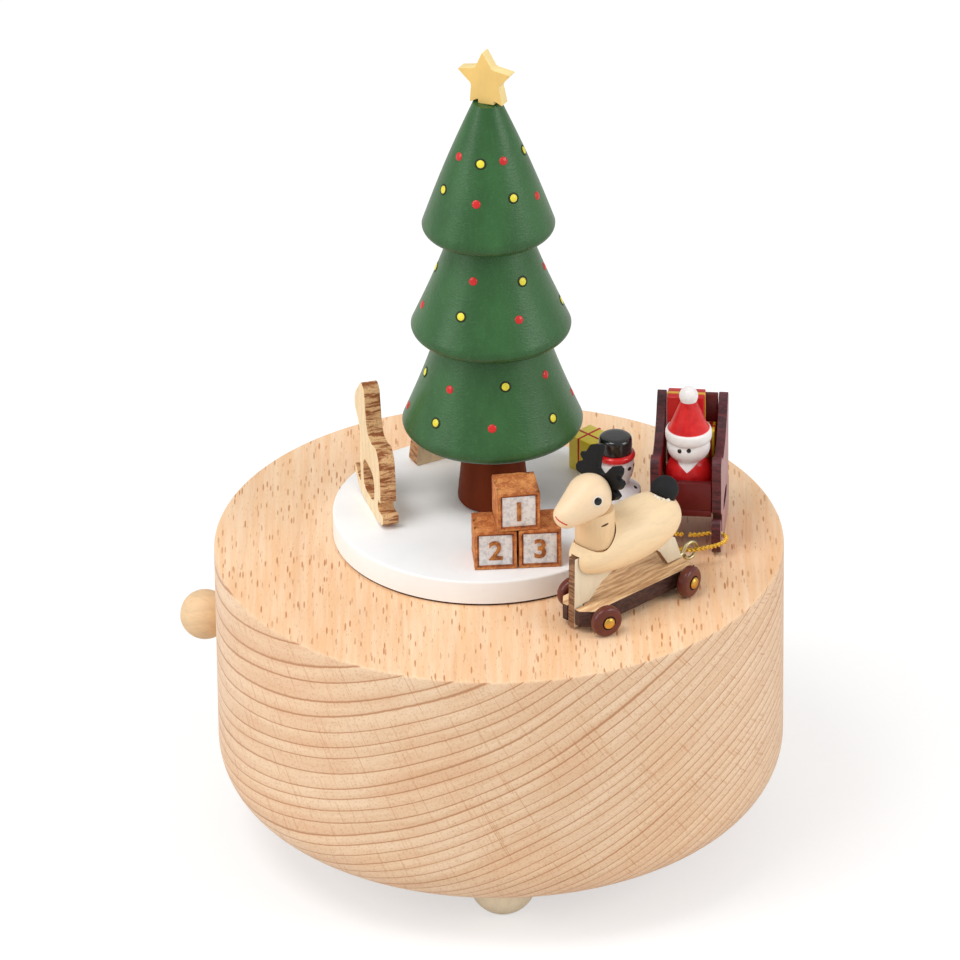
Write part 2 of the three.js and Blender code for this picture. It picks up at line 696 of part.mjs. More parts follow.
// Tree and star, in a frame on the deck at the tree's axis
function addTree(parent) {
  const trunk = turned([
    [0, 0],
    ...arc(trunkFoot - trunkRound, trunkRound, trunkRound, -Math.PI / 2, 0, 3),
    [trunkTop, trunkHeight],
    [0, trunkHeight],
  ], 32);
  piece(parent, 'tree_trunk', trunk, finish(0x4a2414, 0.45), 0, 0, platformThickness);
  let z = platformThickness + trunkHeight;
  let side = 0;
  let shoulder = 0;
  tierShares.forEach((tier, i) => {
    const steps = 6;
    const radius = tier.radius * treeRadius;
    const top = tier.top * treeRadius;
    const height = tier.height * treeHeight;
    const flank = [];
    for (let k = 1; k <= steps; k += 1) {
      const share = k / steps;
      const sag = tier.sag * treeRadius * Math.sin(Math.PI * share);
      flank.push([radius + (top - radius) * share - sag, tierRound + (height - tierRound) * share]);
    }
    const last = i === tierShares.length - 1;
    const crest = last ? [[tipRadius, height + tipHeight / 2], [0, height + tipHeight]] : [[0, height]];
    const profile = [
      [0, 0],
      ...arc(radius - tierRound, tierRound, tierRound, -Math.PI / 2, 0, 3),
      ...flank,
      ...crest,
    ];
    side = tier.side * treeRadius;
    shoulder = top;
    piece(parent, tier.name, turned(profile, 32), greenPaint(), side, 0, z);
    z += height;
  });
  const points = [];
  for (let i = 0; i < 10; i += 1) {
    const radius = i % 2 === 0 ? starOuter : starInner;
    const angle = Math.PI / 2 + i * Math.PI / 5;
    points.push([radius * Math.cos(angle), radius * Math.sin(angle)]);
  }
  const notch = rod(shoulder + seatGap, -starRise - starOuter, tipHeight + seatGap - starRise, 20);
  const star = uprightBoard(points, starThickness).rotate([0, starLean * 180 / Math.PI, 0])
    .subtract(notch);
  piece(parent, 'star', star, finish(0xe0b050, 0.5), side, 0, z + starRise, starTurn);
}

// Outlines as shares of the piece's length and height, chosen by hand from the photograph
const horseRockerShares = [
  [-0.5, 0.13], [-0.475, 0.03], [-0.3, 0.004], [0, 0], [0.3, 0.008], [0.5, 0.1], [0.52, 0.2], [0.4, 0.125],
];
const horseBodyShares = [
  [0.3, 0.1], [0.31, 0.26], [0.33, 0.42], [0.3, 0.52], [0.36, 0.62], [0.5, 0.7], [0.47, 0.82], [0.33, 0.93],
  [0.24, 1], [0.14, 0.97], [0.11, 0.85], [0.08, 0.72], [0.02, 0.62], [-0.12, 0.6], [-0.26, 0.63],
  [-0.37, 0.55],
  [-0.4, 0.38], [-0.41, 0.19], [-0.34, 0.22], [-0.3, 0.12], [-0.4, 0.12],
];
const horseOpeningShares = [
  [-0.17, 0.11], [0.19, 0.11], [0.21, 0.3], [0.16, 0.37], [-0.12, 0.36], [-0.2, 0.28],
];
const cottageShares = [
  [-0.5, 0.04], [-0.46, 0], [0.46, 0], [0.5, 0.04], [0.42, 0.55], [0.46, 0.58], [0, 1],
  [-0.46, 0.58], [-0.42, 0.55],
];
const sleighShares = [
  [0.08, 0.008], [0.88, 0], [0.98, 0.06], [1, 0.2], [0.99, 0.28], [0.91, 0.33], [0.95, 0.46], [0.93, 0.68],
  [0.96, 0.96], [0.92, 1], [0.86, 0.96], [0.74, 0.83], [0.56, 0.73], [0.37, 0.69], [0.265, 0.7],
  [0.21, 0.755], [0.14, 0.77], [0.08, 0.735], [0.06, 0.67], [0.083, 0.49], [0.07, 0.35], [0.11, 0.315],
  [0.2, 0.29], [0.2, 0.12],
  [0.15, 0.095], [0.105, 0.12], [0.1, 0.265], [0.06, 0.3], [0.015, 0.275], [0, 0.19], [0.015, 0.06],
];
const sleighSlotShares = [
  [0.35, 0.24], [0.54, 0.22], [0.74, 0.25], [0.75, 0.31], [0.54, 0.35], [0.36, 0.315],
];
const antlerShares = [
  [0, 0.08], [0.12, 0.1], [0.24, 0.22], [0.4, 0.42], [0.56, 0.72], [0.66, 0.78], [0.76, 0.74], [0.8, 0.56],
  [0.72, 0.44], [0.94, 0.42], [1, 0.3], [0.94, 0.18], [0.76, 0.14], [0.9, 0.06], [0.88, -0.1], [0.76, -0.2],
  [0.6, -0.38], [0.44, -0.3], [0.3, -0.1], [0.16, -0.2], [0, -0.24],
];

const snowmanShares = [
  [0, 0], [0.84, 0], [1, 0.223], [0.97, 0.379], [0.8, 0.448], [0.518, 0.534], [0.677, 0.695], [0.72, 0.807],
  [0.677, 1],
];
const hatShares = [
  [1, 0.084], [1, 0.196], [0.855, 0.281], [0.812, 0.914], [0.684, 1], [0, 1],
];
const santaShares = [
  [0, 0], [0.86, 0], [1, 0.089], [0.96, 0.203], [0.66, 0.28], [0.561, 0.304], [0.739, 0.342], [0.856, 0.389],
  [0.902, 0.44], [0.872, 0.491], [0.769, 0.539], [0.967, 0.569], [0.967, 0.623], [0.884, 0.646],
  [0.342, 0.872],
  [0.37, 0.889], [0.401, 0.915], [0.389, 0.94], [0.335, 0.964], [0.245, 0.983], [0.13, 0.996], [0, 1],
];
const legArchShares = [
  [-0.833, 0.707], [-0.667, 0.824], [0, 0.897], [0.667, 0.678],
];

const scaled = (shares, width, height) => shares.map(([x, y]) => [x * width, y * height]);

// Toys on the platform, in a frame on the deck at the block's axis
function addToys(parent) {
  const standZ = platformThickness;
  const horseOutline = scaled([...horseRockerShares, ...horseBodyShares], horseLength, horseHeight);
  const opening = scaled(horseOpeningShares, horseLength, horseHeight);
  piece(parent, 'rocking_horse', uprightBoard(horseOutline, plyThickness, [opening]), burntPly(),
    horseX, horseY, standZ, horseTurn);

  const step = (blockSize + seatGap) / 2;
  const wayX = Math.cos(blocksTurn);
  const wayY = Math.sin(blocksTurn);
  const half = blockSize / 2;
  const cube = () => box(-half, half, -half, half, 0, blockSize);
  const [stepX, stepY] = [step * wayX, step * wayY];
  piece(parent, 'block_two', cube(), burntPly(), blocksX - stepX, blocksY - stepY, standZ, blocksTurn);
  piece(parent, 'block_three', cube(), burntPly(), blocksX + stepX, blocksY + stepY, standZ, blocksTurn);
  piece(parent, 'block_one', cube(), burntPly(), blocksX, blocksY, standZ + blockSize, topBlockTurn);

  const giftHalf = giftSide / 2;
  const gift = box(-giftHalf, giftHalf, -giftHalf, giftHalf, 0, giftHeight);
  piece(parent, 'gift_large', gift, finish(0xf0cf2a, 0.4), giftX, giftY, standZ, giftTurn);
  piece(parent, 'toy_cottage', uprightBoard(scaled(cottageShares, cottageWidth, cottageHeight), plyThickness),
    burntPly(), cottageX, cottageY, standZ, cottageTurn);

  const hat = scaled(hatShares, hatRadius, hatHeight).map(([r, z]) => [r, z + snowmanHeight]);
  const figure = turned([...scaled(snowmanShares, snowmanRadius, snowmanHeight), ...hat], 20);
  piece(parent, 'snowman', figure, finish(0xf4f3f1, 0.35), snowmanX, snowmanY, standZ);
}

// Board, legs, body, head, antlers and tail of the reindeer, in the cart's frame
function addCart(parent) {
  const half = plankLength / 2;
  const plankOutline = [
    [-half, -plankHalfWidth], [half - plankChamfer, -plankHalfWidth], [half, plankChamfer - plankHalfWidth],
    [half, plankHalfWidth - plankChamfer], [half - plankChamfer, plankHalfWidth], [-half, plankHalfWidth],
  ];
  const notchIn = legFront - legPly - legFloorGap;
  const notch = box(notchIn - seatGap, half + overrun, -legPly / 2 - seatGap, legPly / 2 + seatGap,
    plankBottom - overrun, plankTop + overrun);
  const magnetTop = plankBottom + cartMagnetHeight;
  const magnetPocket = rod(cartMagnetRadius + fineGap, plankBottom - overrun, magnetTop + fineGap, 20);
  const eyeHole = alongX(rod(eyeWire + fineGap, -half - overrun, eyeShank - half + fineGap, 12))
    .translate([0, eyeSide, eyeZ]);
  let plank = board(plankOutline, plankThickness).translate([0, 0, plankBottom])
    .subtract(notch).subtract(magnetPocket).subtract(eyeHole);
  const centre = [-trackRadius, 0];
  const axleWays = [-axleHalfAngle, axleHalfAngle];
  axleWays.forEach((angle, i) => {
    const inner = innerWheelReach - wheelThickness / 2 - fineGap;
    const outer = wheelReach + wheelThickness / 2 + fineGap;
    const nail = turned([
      [0, inner - nailHeadHeight],
      [nailHead, inner - nailHeadHeight],
      [nailHead, inner],
      [nailRadius, inner],
      [nailRadius, outer],
      [nailHead, outer],
      [nailHead, outer + nailHeadHeight],
      [0, outer + nailHeadHeight],
    ], 12);
    const turnDegrees = 90 + angle * 180 / Math.PI;
    const lay = (solid) => alongX(solid).rotate([0, 0, turnDegrees])
      .translate([centre[1], centre[0], wheelRadius]);
    plank = plank.subtract(lay(rod(nailRadius + fineGap, inner, outer, 12)));
    piece(parent, i === 0 ? 'axle_front' : 'axle_rear', lay(nail), brass());
    [['outer', wheelReach], ['inner', innerWheelReach]].forEach(([side, reach]) => {
      const from = reach - wheelThickness / 2;
      const to = reach + wheelThickness / 2;
      const wheel = turned([
        [nailRadius + fineGap, from],
        ...arc(wheelRadius - wheelRound, from + wheelRound, wheelRound, -Math.PI / 2, 0, 2),
        ...arc(wheelRadius - wheelRound, to - wheelRound, wheelRound, 0, Math.PI / 2, 2),
        [nailRadius + fineGap, to],
      ], 20);
      piece(parent, `wheel_${i === 0 ? 'front' : 'rear'}_${side}`, lay(wheel), finish(0x6b2f24, 0.4));
    });
  });
  piece(parent, 'cart_plank', plank, finish(0xb98d63, 0.65));
  piece(parent, 'cart_magnet', rod(cartMagnetRadius, plankBottom, magnetTop, 20), finish(0x8f9296, 0.3, 1));

  const footRear = notchIn - legPly;
  const legOutline = [
    [legFront, legFloorGap],
    [legFront - legTaper, slotTop - seatGap],
    [footRear, slotTop - seatGap],
    [footRear - legPly, bellyTop],
    [-footRear, bellyTop],
    [-legFront + legPly, bellyTop - legPly],
    [-legFront, plankTop + seatGap],
    [-footRear - legTaper, plankTop + seatGap],
    ...spline(scaled(legArchShares, footRear, bellyTop), 8),
    [footRear, plankTop + seatGap],
    [notchIn, plankTop + seatGap],
    [notchIn, legFloorGap],
  ];
  piece(parent, 'leg_plate', uprightBoard(legOutline, legPly), finish(0xe6d3b0, 0.6));

  const egg = [];
  const eggSteps = 12;
  for (let k = 0; k <= eggSteps; k += 1) {
    const angle = -Math.PI / 2 + Math.PI * k / eggSteps;
    const along = Math.sin(angle);
    const share = (1 + along) / 2;
    const fullRadius = bodyRearRadius + (bodyFrontRadius - bodyRearRadius) * share;
    const radius = fullRadius * Math.cos(angle) ** bodyFullness;
    egg.push([k === 0 || k === eggSteps ? 0 : radius, along > 0 ? along * bodyFront : along * bodyRear]);
  }
  const slot = box(-bodyRear - overrun, bodyFront + overrun, -legPly / 2 - seatGap, legPly / 2 + seatGap, 0,
    bellyTop + seatGap);
  const chestSlot = box(footRear - legPly - seatGap, bodyFront + overrun, -legPly / 2 - seatGap,
    legPly / 2 + seatGap, 0, slotTop);
  const neckPocket = rod(neckRadius + seatGap, neckBottom - seatGap, neckTop, 28).translate([neckX, 0, 0]);
  const tailHollow = ball(tailRadius + seatGap, 16, 9).translate([tailX, 0, tailZ]);
  const bodySolid = alongX(turned(egg, 22)).rotate([0, bodyTilt * 180 / Math.PI, 0]).translate([0, 0, bodyZ])
    .subtract(slot).subtract(chestSlot).subtract(neckPocket).subtract(tailHollow);
  piece(parent, 'reindeer_body', bodySolid, paleWood());
  piece(parent, 'reindeer_neck', rod(neckRadius, neckBottom, neckTop, 24), paleWood(), neckX, 0, 0);

  const lean = Math.asin((headRadius - snoutRadius) / snoutReach);
  const headProfile = [
    ...arc(0, 0, headRadius, -Math.PI / 2, lean, 7),
    ...arc(0, snoutReach, snoutRadius, lean, Math.PI / 2, 5),
  ];
  const headPocket = rod(neckRadius + seatGap, 0, neckTop + seatGap, 28).translate([neckX, 0, 0]);
  const antlerSlot = box(-headRadius, antlerPly / 2 + seatGap, -antlerReach, antlerReach, -antlerNotch, antlerRise)
    .rotate([0, -antlerLean * 180 / Math.PI, 0]).translate([antlerX, 0, antlerZ]);
  const head = alongX(turned(headProfile, 20)).rotate([0, headDrop * 180 / Math.PI, 0])
    .translate([headX, 0, headZ]).subtract(headPocket).subtract(antlerSlot);
  piece(parent, 'reindeer_head', largest(head), finish(0xf2dcb4, 0.55));

  const rightHalf = scaled(antlerShares, antlerReach, antlerRise);
  const leftHalf = rightHalf.slice(1, -1).reverse().map(([x, y]) => [-x, y]);
  const antlers = uprightBoard([...rightHalf, ...leftHalf], antlerPly).rotate([0, 0, 90])
    .rotate([antlerRoll * 180 / Math.PI, 0, 0]).rotate([0, -antlerLean * 180 / Math.PI, 0])
    .translate([antlerX, 0, antlerZ]);
  piece(parent, 'antlers', antlers, finish(0x17171a, 0.6));
  piece(parent, 'tail_ball', ball(tailRadius, 16, 9), finish(0x202022, 0.85), tailX, 0, tailZ);
}

// The largest of the bodies that a cut left
function largest(solid) {
  return solid.decompose().reduce((best, one) => (one.volume() > best.volume() ? one : best));
}

// A tube along a closed or open curve, with a section of the given number of sides
function tube(curve, radius, sides, steps) {
  const section = new THREE.Shape(arc(0, 0, radius, 0, 2 * Math.PI * (sides - 1) / sides, sides - 1)
    .map(([x, y]) => new THREE.Vector2(x, y)));
  return new THREE.ExtrudeGeometry(section, { steps, extrudePath: curve, bevelEnabled: false });
}

// Screw eye in the back end of the board, in the cart's frame
function addScrewEye(parent) {
  const openingShare = 0.06;
  const turnStart = 2 * Math.PI * openingShare;
  const turnEnd = 2 * Math.PI * (1 - openingShare);
  const shankEnd = eyeShank - plankLength / 2 - eyeX;
  const points = [new THREE.Vector3(shankEnd, 0, 0), new THREE.Vector3(eyeNeck, 0, 0)];
  const steps = 14;
  for (let i = 0; i <= steps; i += 1) {
    const angle = turnStart + (turnEnd - turnStart) * i / steps;
    points.push(new THREE.Vector3(eyeRadius * Math.cos(angle), 0, eyeRadius * Math.sin(angle)));
  }
  const curve = new THREE.CatmullRomCurve3(points, false, 'centripetal');
  const wire = solidOf(tube(curve, eyeWire, 8, 26));
  piece(parent, 'screw_eye', wire, brass(), eyeX, eyeSide, eyeZ);
}

// Sleigh and its load, in the sleigh's frame
function addSleigh(parent) {
  const outline = scaled(sleighShares, -sleighLength, sleighHeight);
  const slot = scaled(sleighSlotShares, -sleighLength, sleighHeight);
  const sideBoard = () => uprightBoard(outline, sleighPly, [slot]);
  piece(parent, 'sleigh_side_left', sideBoard(), darkRed(), 0, sleighHalfWidth, 0);
  piece(parent, 'sleigh_side_right', sideBoard(), darkRed(), 0, -sleighHalfWidth, 0);

  const halfInside = sleighHalfWidth - sleighPly / 2 - fineGap;
  const floorTop = floorZ + boardPly;
  const across = (back0, back1, z0, z1) => box(-back1, -back0, -halfInside, halfInside, z0, z1);
  const backEnd = backBoardBack + boardPly;
  piece(parent, 'sleigh_floor', across(frontBoardBack, backEnd, floorZ, floorTop), darkRed());
  const frontEnd = frontBoardBack + boardPly;
  piece(parent, 'sleigh_front_board', across(frontBoardBack, frontEnd, floorTop, frontBoardTop), darkRed());
  piece(parent, 'sleigh_back_board', across(backBoardBack, backEnd, floorTop, backBoardTop), darkRed());

  const santa = turned(scaled(santaShares, santaRadius, santaHeight), 20).translate([0, 0, floorTop]);
  piece(parent, 'santa', santa, finish(0xc81e24, 0.4), -santaBack, 0, 0);

  const giftFront = santaBack + santaRadius + giftGap;
  const giftBack = backBoardBack - giftGap;
  const redSide = -halfInside + giftGap;
  const red = box(-giftBack, -giftFront, redSide, redSide + redGiftWidth, floorTop, redGiftTop);
  piece(parent, 'gift_red', red, finish(0xc02020, 0.4));
  const yellowSide = redSide + redGiftWidth + giftGap;
  const yellow = box(-giftBack, -giftFront, yellowSide, halfInside - giftGap, floorTop, yellowGiftTop);
  piece(parent, 'gift_yellow', yellow, finish(0xe8c820, 0.4));

  const places = cordPoints.map(([x, y, z]) => new THREE.Vector3(x, y, z));
  const curve = new THREE.CatmullRomCurve3(places, false, 'centripetal');
  piece(parent, 'tow_cord', solidOf(tube(curve, cordRadius, 8, 36)), finish(0xd9a520, 0.45));
}

const musicBox = new THREE.Group();
musicBox.name = 'music_box';
const body = groupAt(musicBox, 0, 0, 0);
addCase(body);
const works = groupAt(body, turnX, turnY, 0);
addMovement(works);
addCylinder(works);
addKnob(works);
const deck = groupAt(body, 0, 0, deckZ);
const platformGroup = groupAt(deck, turnX, turnY, 0);
piece(platformGroup, 'platform', turned([
  [0, 0],
  [platformRadius, 0],
  [platformRadius, platformThickness - platformEdge],
  [platformRadius - platformEdge, platformThickness],
  [0, platformThickness],
], 72), finish(0xf6f4f2, 0.5));
addTree(groupAt(deck, treeX, treeY, 0));
addToys(deck);
const cart = groupAt(platformGroup, trackRadius * Math.cos(cartAngle), trackRadius * Math.sin(cartAngle), 0,
  cartAngle - Math.PI / 2);
addCart(cart);
addScrewEye(cart);
const sleighReach = trackRadius + sleighOut;
addSleigh(groupAt(platformGroup, sleighReach * Math.cos(sleighAngle), sleighReach * Math.sin(sleighAngle), 0,
  sleighHeading));

// Only the bead stands out past the block, so the outline's middle lies a little to the block's side
const beadEnd = turnX + knobWay[0] * knobReach - knobRadius;
body.position.x = -(baseRadius + beadEnd) / 2;

export default musicBox;
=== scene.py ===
# A wooden music box: a turned beech block with a painted tree and toys on a round platform,
# and a reindeer on wheels that tows a sleigh round it. Pieces are drawn in millimetres about their
# own centre, then settled into the frame, which is in metres.
import json
import math
import bmesh
import bpy
from mathutils import Euler, Matrix, Quaternion, Vector

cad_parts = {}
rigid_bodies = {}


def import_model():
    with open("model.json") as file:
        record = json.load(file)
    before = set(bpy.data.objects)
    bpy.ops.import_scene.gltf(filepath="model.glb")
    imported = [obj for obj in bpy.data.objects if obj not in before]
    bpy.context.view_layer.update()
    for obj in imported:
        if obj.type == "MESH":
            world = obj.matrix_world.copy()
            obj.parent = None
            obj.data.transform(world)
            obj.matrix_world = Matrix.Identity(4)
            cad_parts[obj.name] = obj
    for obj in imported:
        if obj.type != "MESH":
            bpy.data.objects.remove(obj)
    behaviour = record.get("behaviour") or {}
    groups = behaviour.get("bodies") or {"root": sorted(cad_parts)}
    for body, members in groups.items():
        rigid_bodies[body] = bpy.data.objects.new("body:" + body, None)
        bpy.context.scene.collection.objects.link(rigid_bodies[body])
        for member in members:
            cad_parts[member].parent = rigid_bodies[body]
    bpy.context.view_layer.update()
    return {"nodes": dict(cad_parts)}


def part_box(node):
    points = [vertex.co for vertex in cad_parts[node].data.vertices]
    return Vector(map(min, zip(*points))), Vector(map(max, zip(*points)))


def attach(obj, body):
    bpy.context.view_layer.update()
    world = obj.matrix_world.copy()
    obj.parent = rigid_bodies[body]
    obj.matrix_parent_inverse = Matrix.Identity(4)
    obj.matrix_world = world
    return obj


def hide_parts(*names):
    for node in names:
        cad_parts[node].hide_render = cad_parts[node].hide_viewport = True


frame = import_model()

mm = 0.001
up = Vector((0, 0, 1))
flat = Matrix.Identity(4)
layAlongX = Matrix.Rotation(math.radians(90), 4, "Y")   # a piece turned about Z then lies along X
standUp = Matrix.Rotation(math.radians(90), 4, "X")     # a board drawn in XY then stands


def turned(x, y, z, yaw=0.0, pitch=0.0, roll=0.0):
    turn = Euler((math.radians(roll), math.radians(pitch), math.radians(yaw)))
    return Matrix.Translation((x, y, z)) @ turn.to_matrix().to_4x4()


sites = {
    "block": (3.9167, 0.0),         # the block's axis
    "centre": (1.2167, 3.4),        # what the cart and sleigh circle
    "deck": 61.0,
    "stand": 66.25,                 # top of the platform
    "tree": (2.9667, 6.9),
    "cartWay": -137.3,              # degrees; the way the cart rolls
    "sleighWay": -96.0,
}
cartPlace = turned(27.834, -25.445, sites["deck"], sites["cartWay"])
sleighPlace = turned(39.664, -7.603, sites["deck"], sites["sleighWay"])

photoCamera = {
    "place": (0.000397, -1.73752, 1.0352),   # metres
    "down": 0.5052,                 # radians below the horizon
    "roll": -0.01136,
    "lens": 387.05,
    "sensor": 36.0,
    "pixels": 960,
    "tries": 20,                    # steps from a pixel towards the one given as inward,
    "parts": 100,                   # each this part of the way
    "grazing": 0.12,                # a face turned less than this to the camera counts as its outline
}


def addCamera(cfg):
    bpy.ops.object.camera_add(location=cfg["place"])
    camera = bpy.context.object
    camera.name = "photoCamera"
    camera.rotation_mode = "QUATERNION"
    tilt = Euler((math.pi / 2 - cfg["down"], 0, 0)).to_quaternion()
    camera.rotation_quaternion = tilt @ Quaternion((0, 0, 1), cfg["roll"])
    camera.data.lens = cfg["lens"]
    camera.data.sensor_width = cfg["sensor"]
    camera.data.clip_start, camera.data.clip_end = 0.1, 20
    bpy.context.scene.camera = camera
    return camera


camera = addCamera(photoCamera)
print("camera set")


# A place on a piece, given by the pixel of the photograph that shows it. A pixel just past the
# piece's outline is moved in, towards the pixel given as inward.
def seenAt(piece, px, py, inward=None, cfg=photoCamera):
    middle = cfg["pixels"] / 2
    reach = cfg["lens"] / cfg["sensor"] * cfg["pixels"]
    start = Vector(cfg["place"])
    for i in range(cfg["tries"] if inward else 1):
        share = i / cfg["parts"]
        x = px + (inward[0] - px) * share if inward else px
        y = py + (inward[1] - py) * share if inward else py
        way = camera.rotation_quaternion @ Vector((x - middle, middle - y, -reach)).normalized()
        hit, spot, normal, _ = piece.ray_cast(start, way)
        if hit and normal.dot(way) < -cfg["grazing"]:
            return spot, normal
    raise ValueError(f"no {piece.name} at {px}, {py}")


class Wire:                         # a shader socket that takes part in sums
    def __init__(self, shader, socket):
        self.shader, self.socket = shader, socket

    def __add__(self, other):
        return self.shader.sum("ADD", self, other)

    def __sub__(self, other):
        return self.shader.sum("SUBTRACT", self, other)

    def __rsub__(self, other):
        return self.shader.sum("SUBTRACT", other, self)

    def __mul__(self, other):
        return self.shader.sum("MULTIPLY", self, other)

    def __truediv__(self, other):
        return self.shader.sum("DIVIDE", self, other)

    def __pow__(self, other):
        return self.shader.sum("POWER", self, other)

    def __abs__(self):
        return self.shader.sum("ABSOLUTE", self, 0)

    __radd__ = __add__
    __rmul__ = __mul__


class Shader:                       # a material and the nodes in it
    def __init__(self, name):
        self.material = bpy.data.materials.new(name)
        self.material.use_nodes = True
        self.tree = self.material.node_tree
        self.tree.nodes.clear()

    def feed(self, socket, value):
        if isinstance(value, Wire):
            self.tree.links.new(value.socket, socket)
        else:
            socket.default_value = value

    def node(self, kind, settings, values, out=0):
        made = self.tree.nodes.new("ShaderNode" + kind)
        for key, value in settings.items():
            if key == "stops":
                while len(made.color_ramp.elements) < len(value):
                    made.color_ramp.elements.new(0.5)
                for stop, (at, colour) in zip(made.color_ramp.elements, value):
                    stop.position, stop.color = at, colour
            else:
                setattr(made, key, value)
        for key, value in values.items():
            self.feed(made.inputs[key], value)
        return Wire(self, made.outputs[out]) if made.outputs else None

    def sum(self, operation, first, second):
        return self.node("Math", {"operation": operation}, {0: first, 1: second})

    def mix(self, amount, first, second, mode="MIX"):
        settings = {"data_type": "RGBA", "blend_type": mode, "clamp_factor": True}
        first, second = [value if isinstance(value, Wire) else tint(value) for value in (first, second)]
        return self.node("Mix", settings, {0: amount, 6: first, 7: second}, 2)

    def local(self, place=flat):    # millimetres about a piece's own place
        spot, turn, _ = place.decompose()
        coords = self.node("TexCoord", {}, {}, "Object")
        return self.node("Mapping", {"vector_type": "TEXTURE"}, {
            "Vector": coords, "Location": spot * mm, "Rotation": turn.to_euler(), "Scale": (mm,) * 3})

    def split(self, vector):
        apart = self.tree.nodes.new("ShaderNodeSeparateXYZ")
        self.feed(apart.inputs[0], vector)
        return [Wire(self, output) for output in apart.outputs]

    def join(self, x, y, z):
        return self.node("CombineXYZ", {}, {0: x, 1: y, 2: z})

    def stretch(self, vector, x, y, z):
        return self.node("VectorMath", {"operation": "MULTIPLY"}, {0: vector, 1: (x, y, z)})

    def noise(self, vector, detail=2.0, rough=0.5, scale=1.0):
        return self.node("TexNoise", {}, {
            "Vector": vector, "Scale": scale, "Detail": detail, "Roughness": rough})

    def grain(self, vector, size, detail=3.0, rough=0.6):   # size: one number, or one for each way
        sizes = size if isinstance(size, tuple) else (size,) * 3
        return self.noise(self.stretch(vector, *sizes), detail, rough)

    def cells(self, vector, output="Distance", scale=5.0):
        return self.node("TexVoronoi", {"feature": "F1"}, {"Vector": vector, "Scale": scale}, output)

    def step(self, value, low, high):
        return self.node("MapRange", {"interpolation_type": "SMOOTHSTEP"}, {
            "Value": value, "From Min": low, "From Max": high})

    # bumps is a height in its own units, and depth what a whole unit of it stands for in millimetres
    def paint(self, colour, rough, bumps, depth, metal=0.0, coat=0.0, coatRough=0.1, shine=0.5, sheen=0.0):
        values = {"Base Color": colour, "Roughness": rough, "Metallic": metal, "Coat Weight": coat,
                  "Coat Roughness": coatRough, "Specular IOR Level": shine, "Sheen Weight": sheen}
        values["Normal"] = self.node("Bump", {}, {"Height": bumps, "Strength": 1.0, "Distance": depth * mm})
        shade = self.node("BsdfPrincipled", {}, values)
        self.node("OutputMaterial", {}, {"Surface": shade})
        return self.material


# A colour as it is read off a screen, 0 to 255, in the renderer's own numbers
def tint(colour):
    parts = [part / 255 for part in colour]
    return (*[part / 12.92 if part <= 0.04045 else ((part + 0.055) / 1.055) ** 2.4 for part in parts], 1.0)


def shifted(colour, share, lift=0):
    return tuple(min(255, part * share + lift) for part in colour)


def activate(piece):
    bpy.ops.object.select_all(action="DESELECT")
    piece.select_set(True)
    bpy.context.view_layer.objects.active = piece


def openUp(piece, kind="VERT"):     # edit mode, all selected
    activate(piece)
    bpy.ops.object.mode_set(mode="EDIT")
    bpy.ops.mesh.select_mode(type=kind)
    bpy.ops.mesh.select_all(action="SELECT")


def close(piece, smooth=None):
    bpy.ops.object.mode_set(mode="OBJECT")
    if smooth is not None:
        activate(piece)
        bpy.ops.object.shade_smooth_by_angle(angle=math.radians(smooth))
    return piece


def pick(piece, test, kind="FACE"):
    bpy.ops.mesh.select_mode(type=kind)
    bpy.ops.mesh.select_all(action="DESELECT")
    shape = bmesh.from_edit_mesh(piece.data)
    for item in shape.faces if kind == "FACE" else shape.edges:
        item.select_set(test(item))
    shape.select_flush_mode()
    bmesh.update_edit_mesh(piece.data)


def newest(name):                   # the object that an operator has just made, with its name
    piece = bpy.context.object
    piece.name = piece.data.name = name
    return piece


def chain(name, points):            # a line of vertices, drawn point by point
    points = [Vector(point) for point in points]
    bpy.ops.object.select_all(action="DESELECT")
    bpy.ops.mesh.primitive_plane_add(size=1)
    piece = newest(name)
    bpy.ops.object.mode_set(mode="EDIT")
    bpy.ops.mesh.select_mode(type="VERT")
    bpy.ops.mesh.merge(type="CENTER")
    bpy.ops.transform.translate(value=points[0])
    for start, end in zip(points, points[1:]):
        bpy.ops.mesh.extrude_vertices_move(TRANSFORM_OT_translate={"value": end - start})
    return piece


def mended(piece, smooth):
    bpy.ops.mesh.select_all(action="SELECT")
    bpy.ops.mesh.remove_doubles(threshold=0.0005)
    bpy.ops.mesh.normals_make_consistent(inside=False)
    return close(piece, smooth)


def lathed(name, profile, sides=96, smooth=35):
    piece = chain(name, [(radius, 0, z) for radius, z in profile])
    bpy.ops.mesh.select_all(action="SELECT")
    bpy.ops.mesh.spin(steps=sides, angle=2 * math.pi, center=(0, 0, 0), axis=(0, 0, 1))
    return mended(piece, smooth)


def sawn(name, outline, thickness, smooth=35):      # a board cut to an outline, its thickness about z = 0
    low = -thickness / 2
    piece = chain(name, [(x, y, low) for x, y in outline])
    bpy.ops.mesh.select_all(action="SELECT")
    bpy.ops.mesh.edge_face_add()
    bpy.ops.mesh.extrude_region_move(TRANSFORM_OT_translate={"value": (0, 0, thickness)})
    return mended(piece, smooth)


def boxed(name, low, high):
    low, high = Vector(low), Vector(high)
    bpy.ops.object.select_all(action="DESELECT")
    bpy.ops.mesh.primitive_cube_add(size=1, location=(low + high) / 2, scale=high - low)
    piece = newest(name)
    activate(piece)
    bpy.ops.object.transform_apply(location=True, rotation=True, scale=True)
    return piece


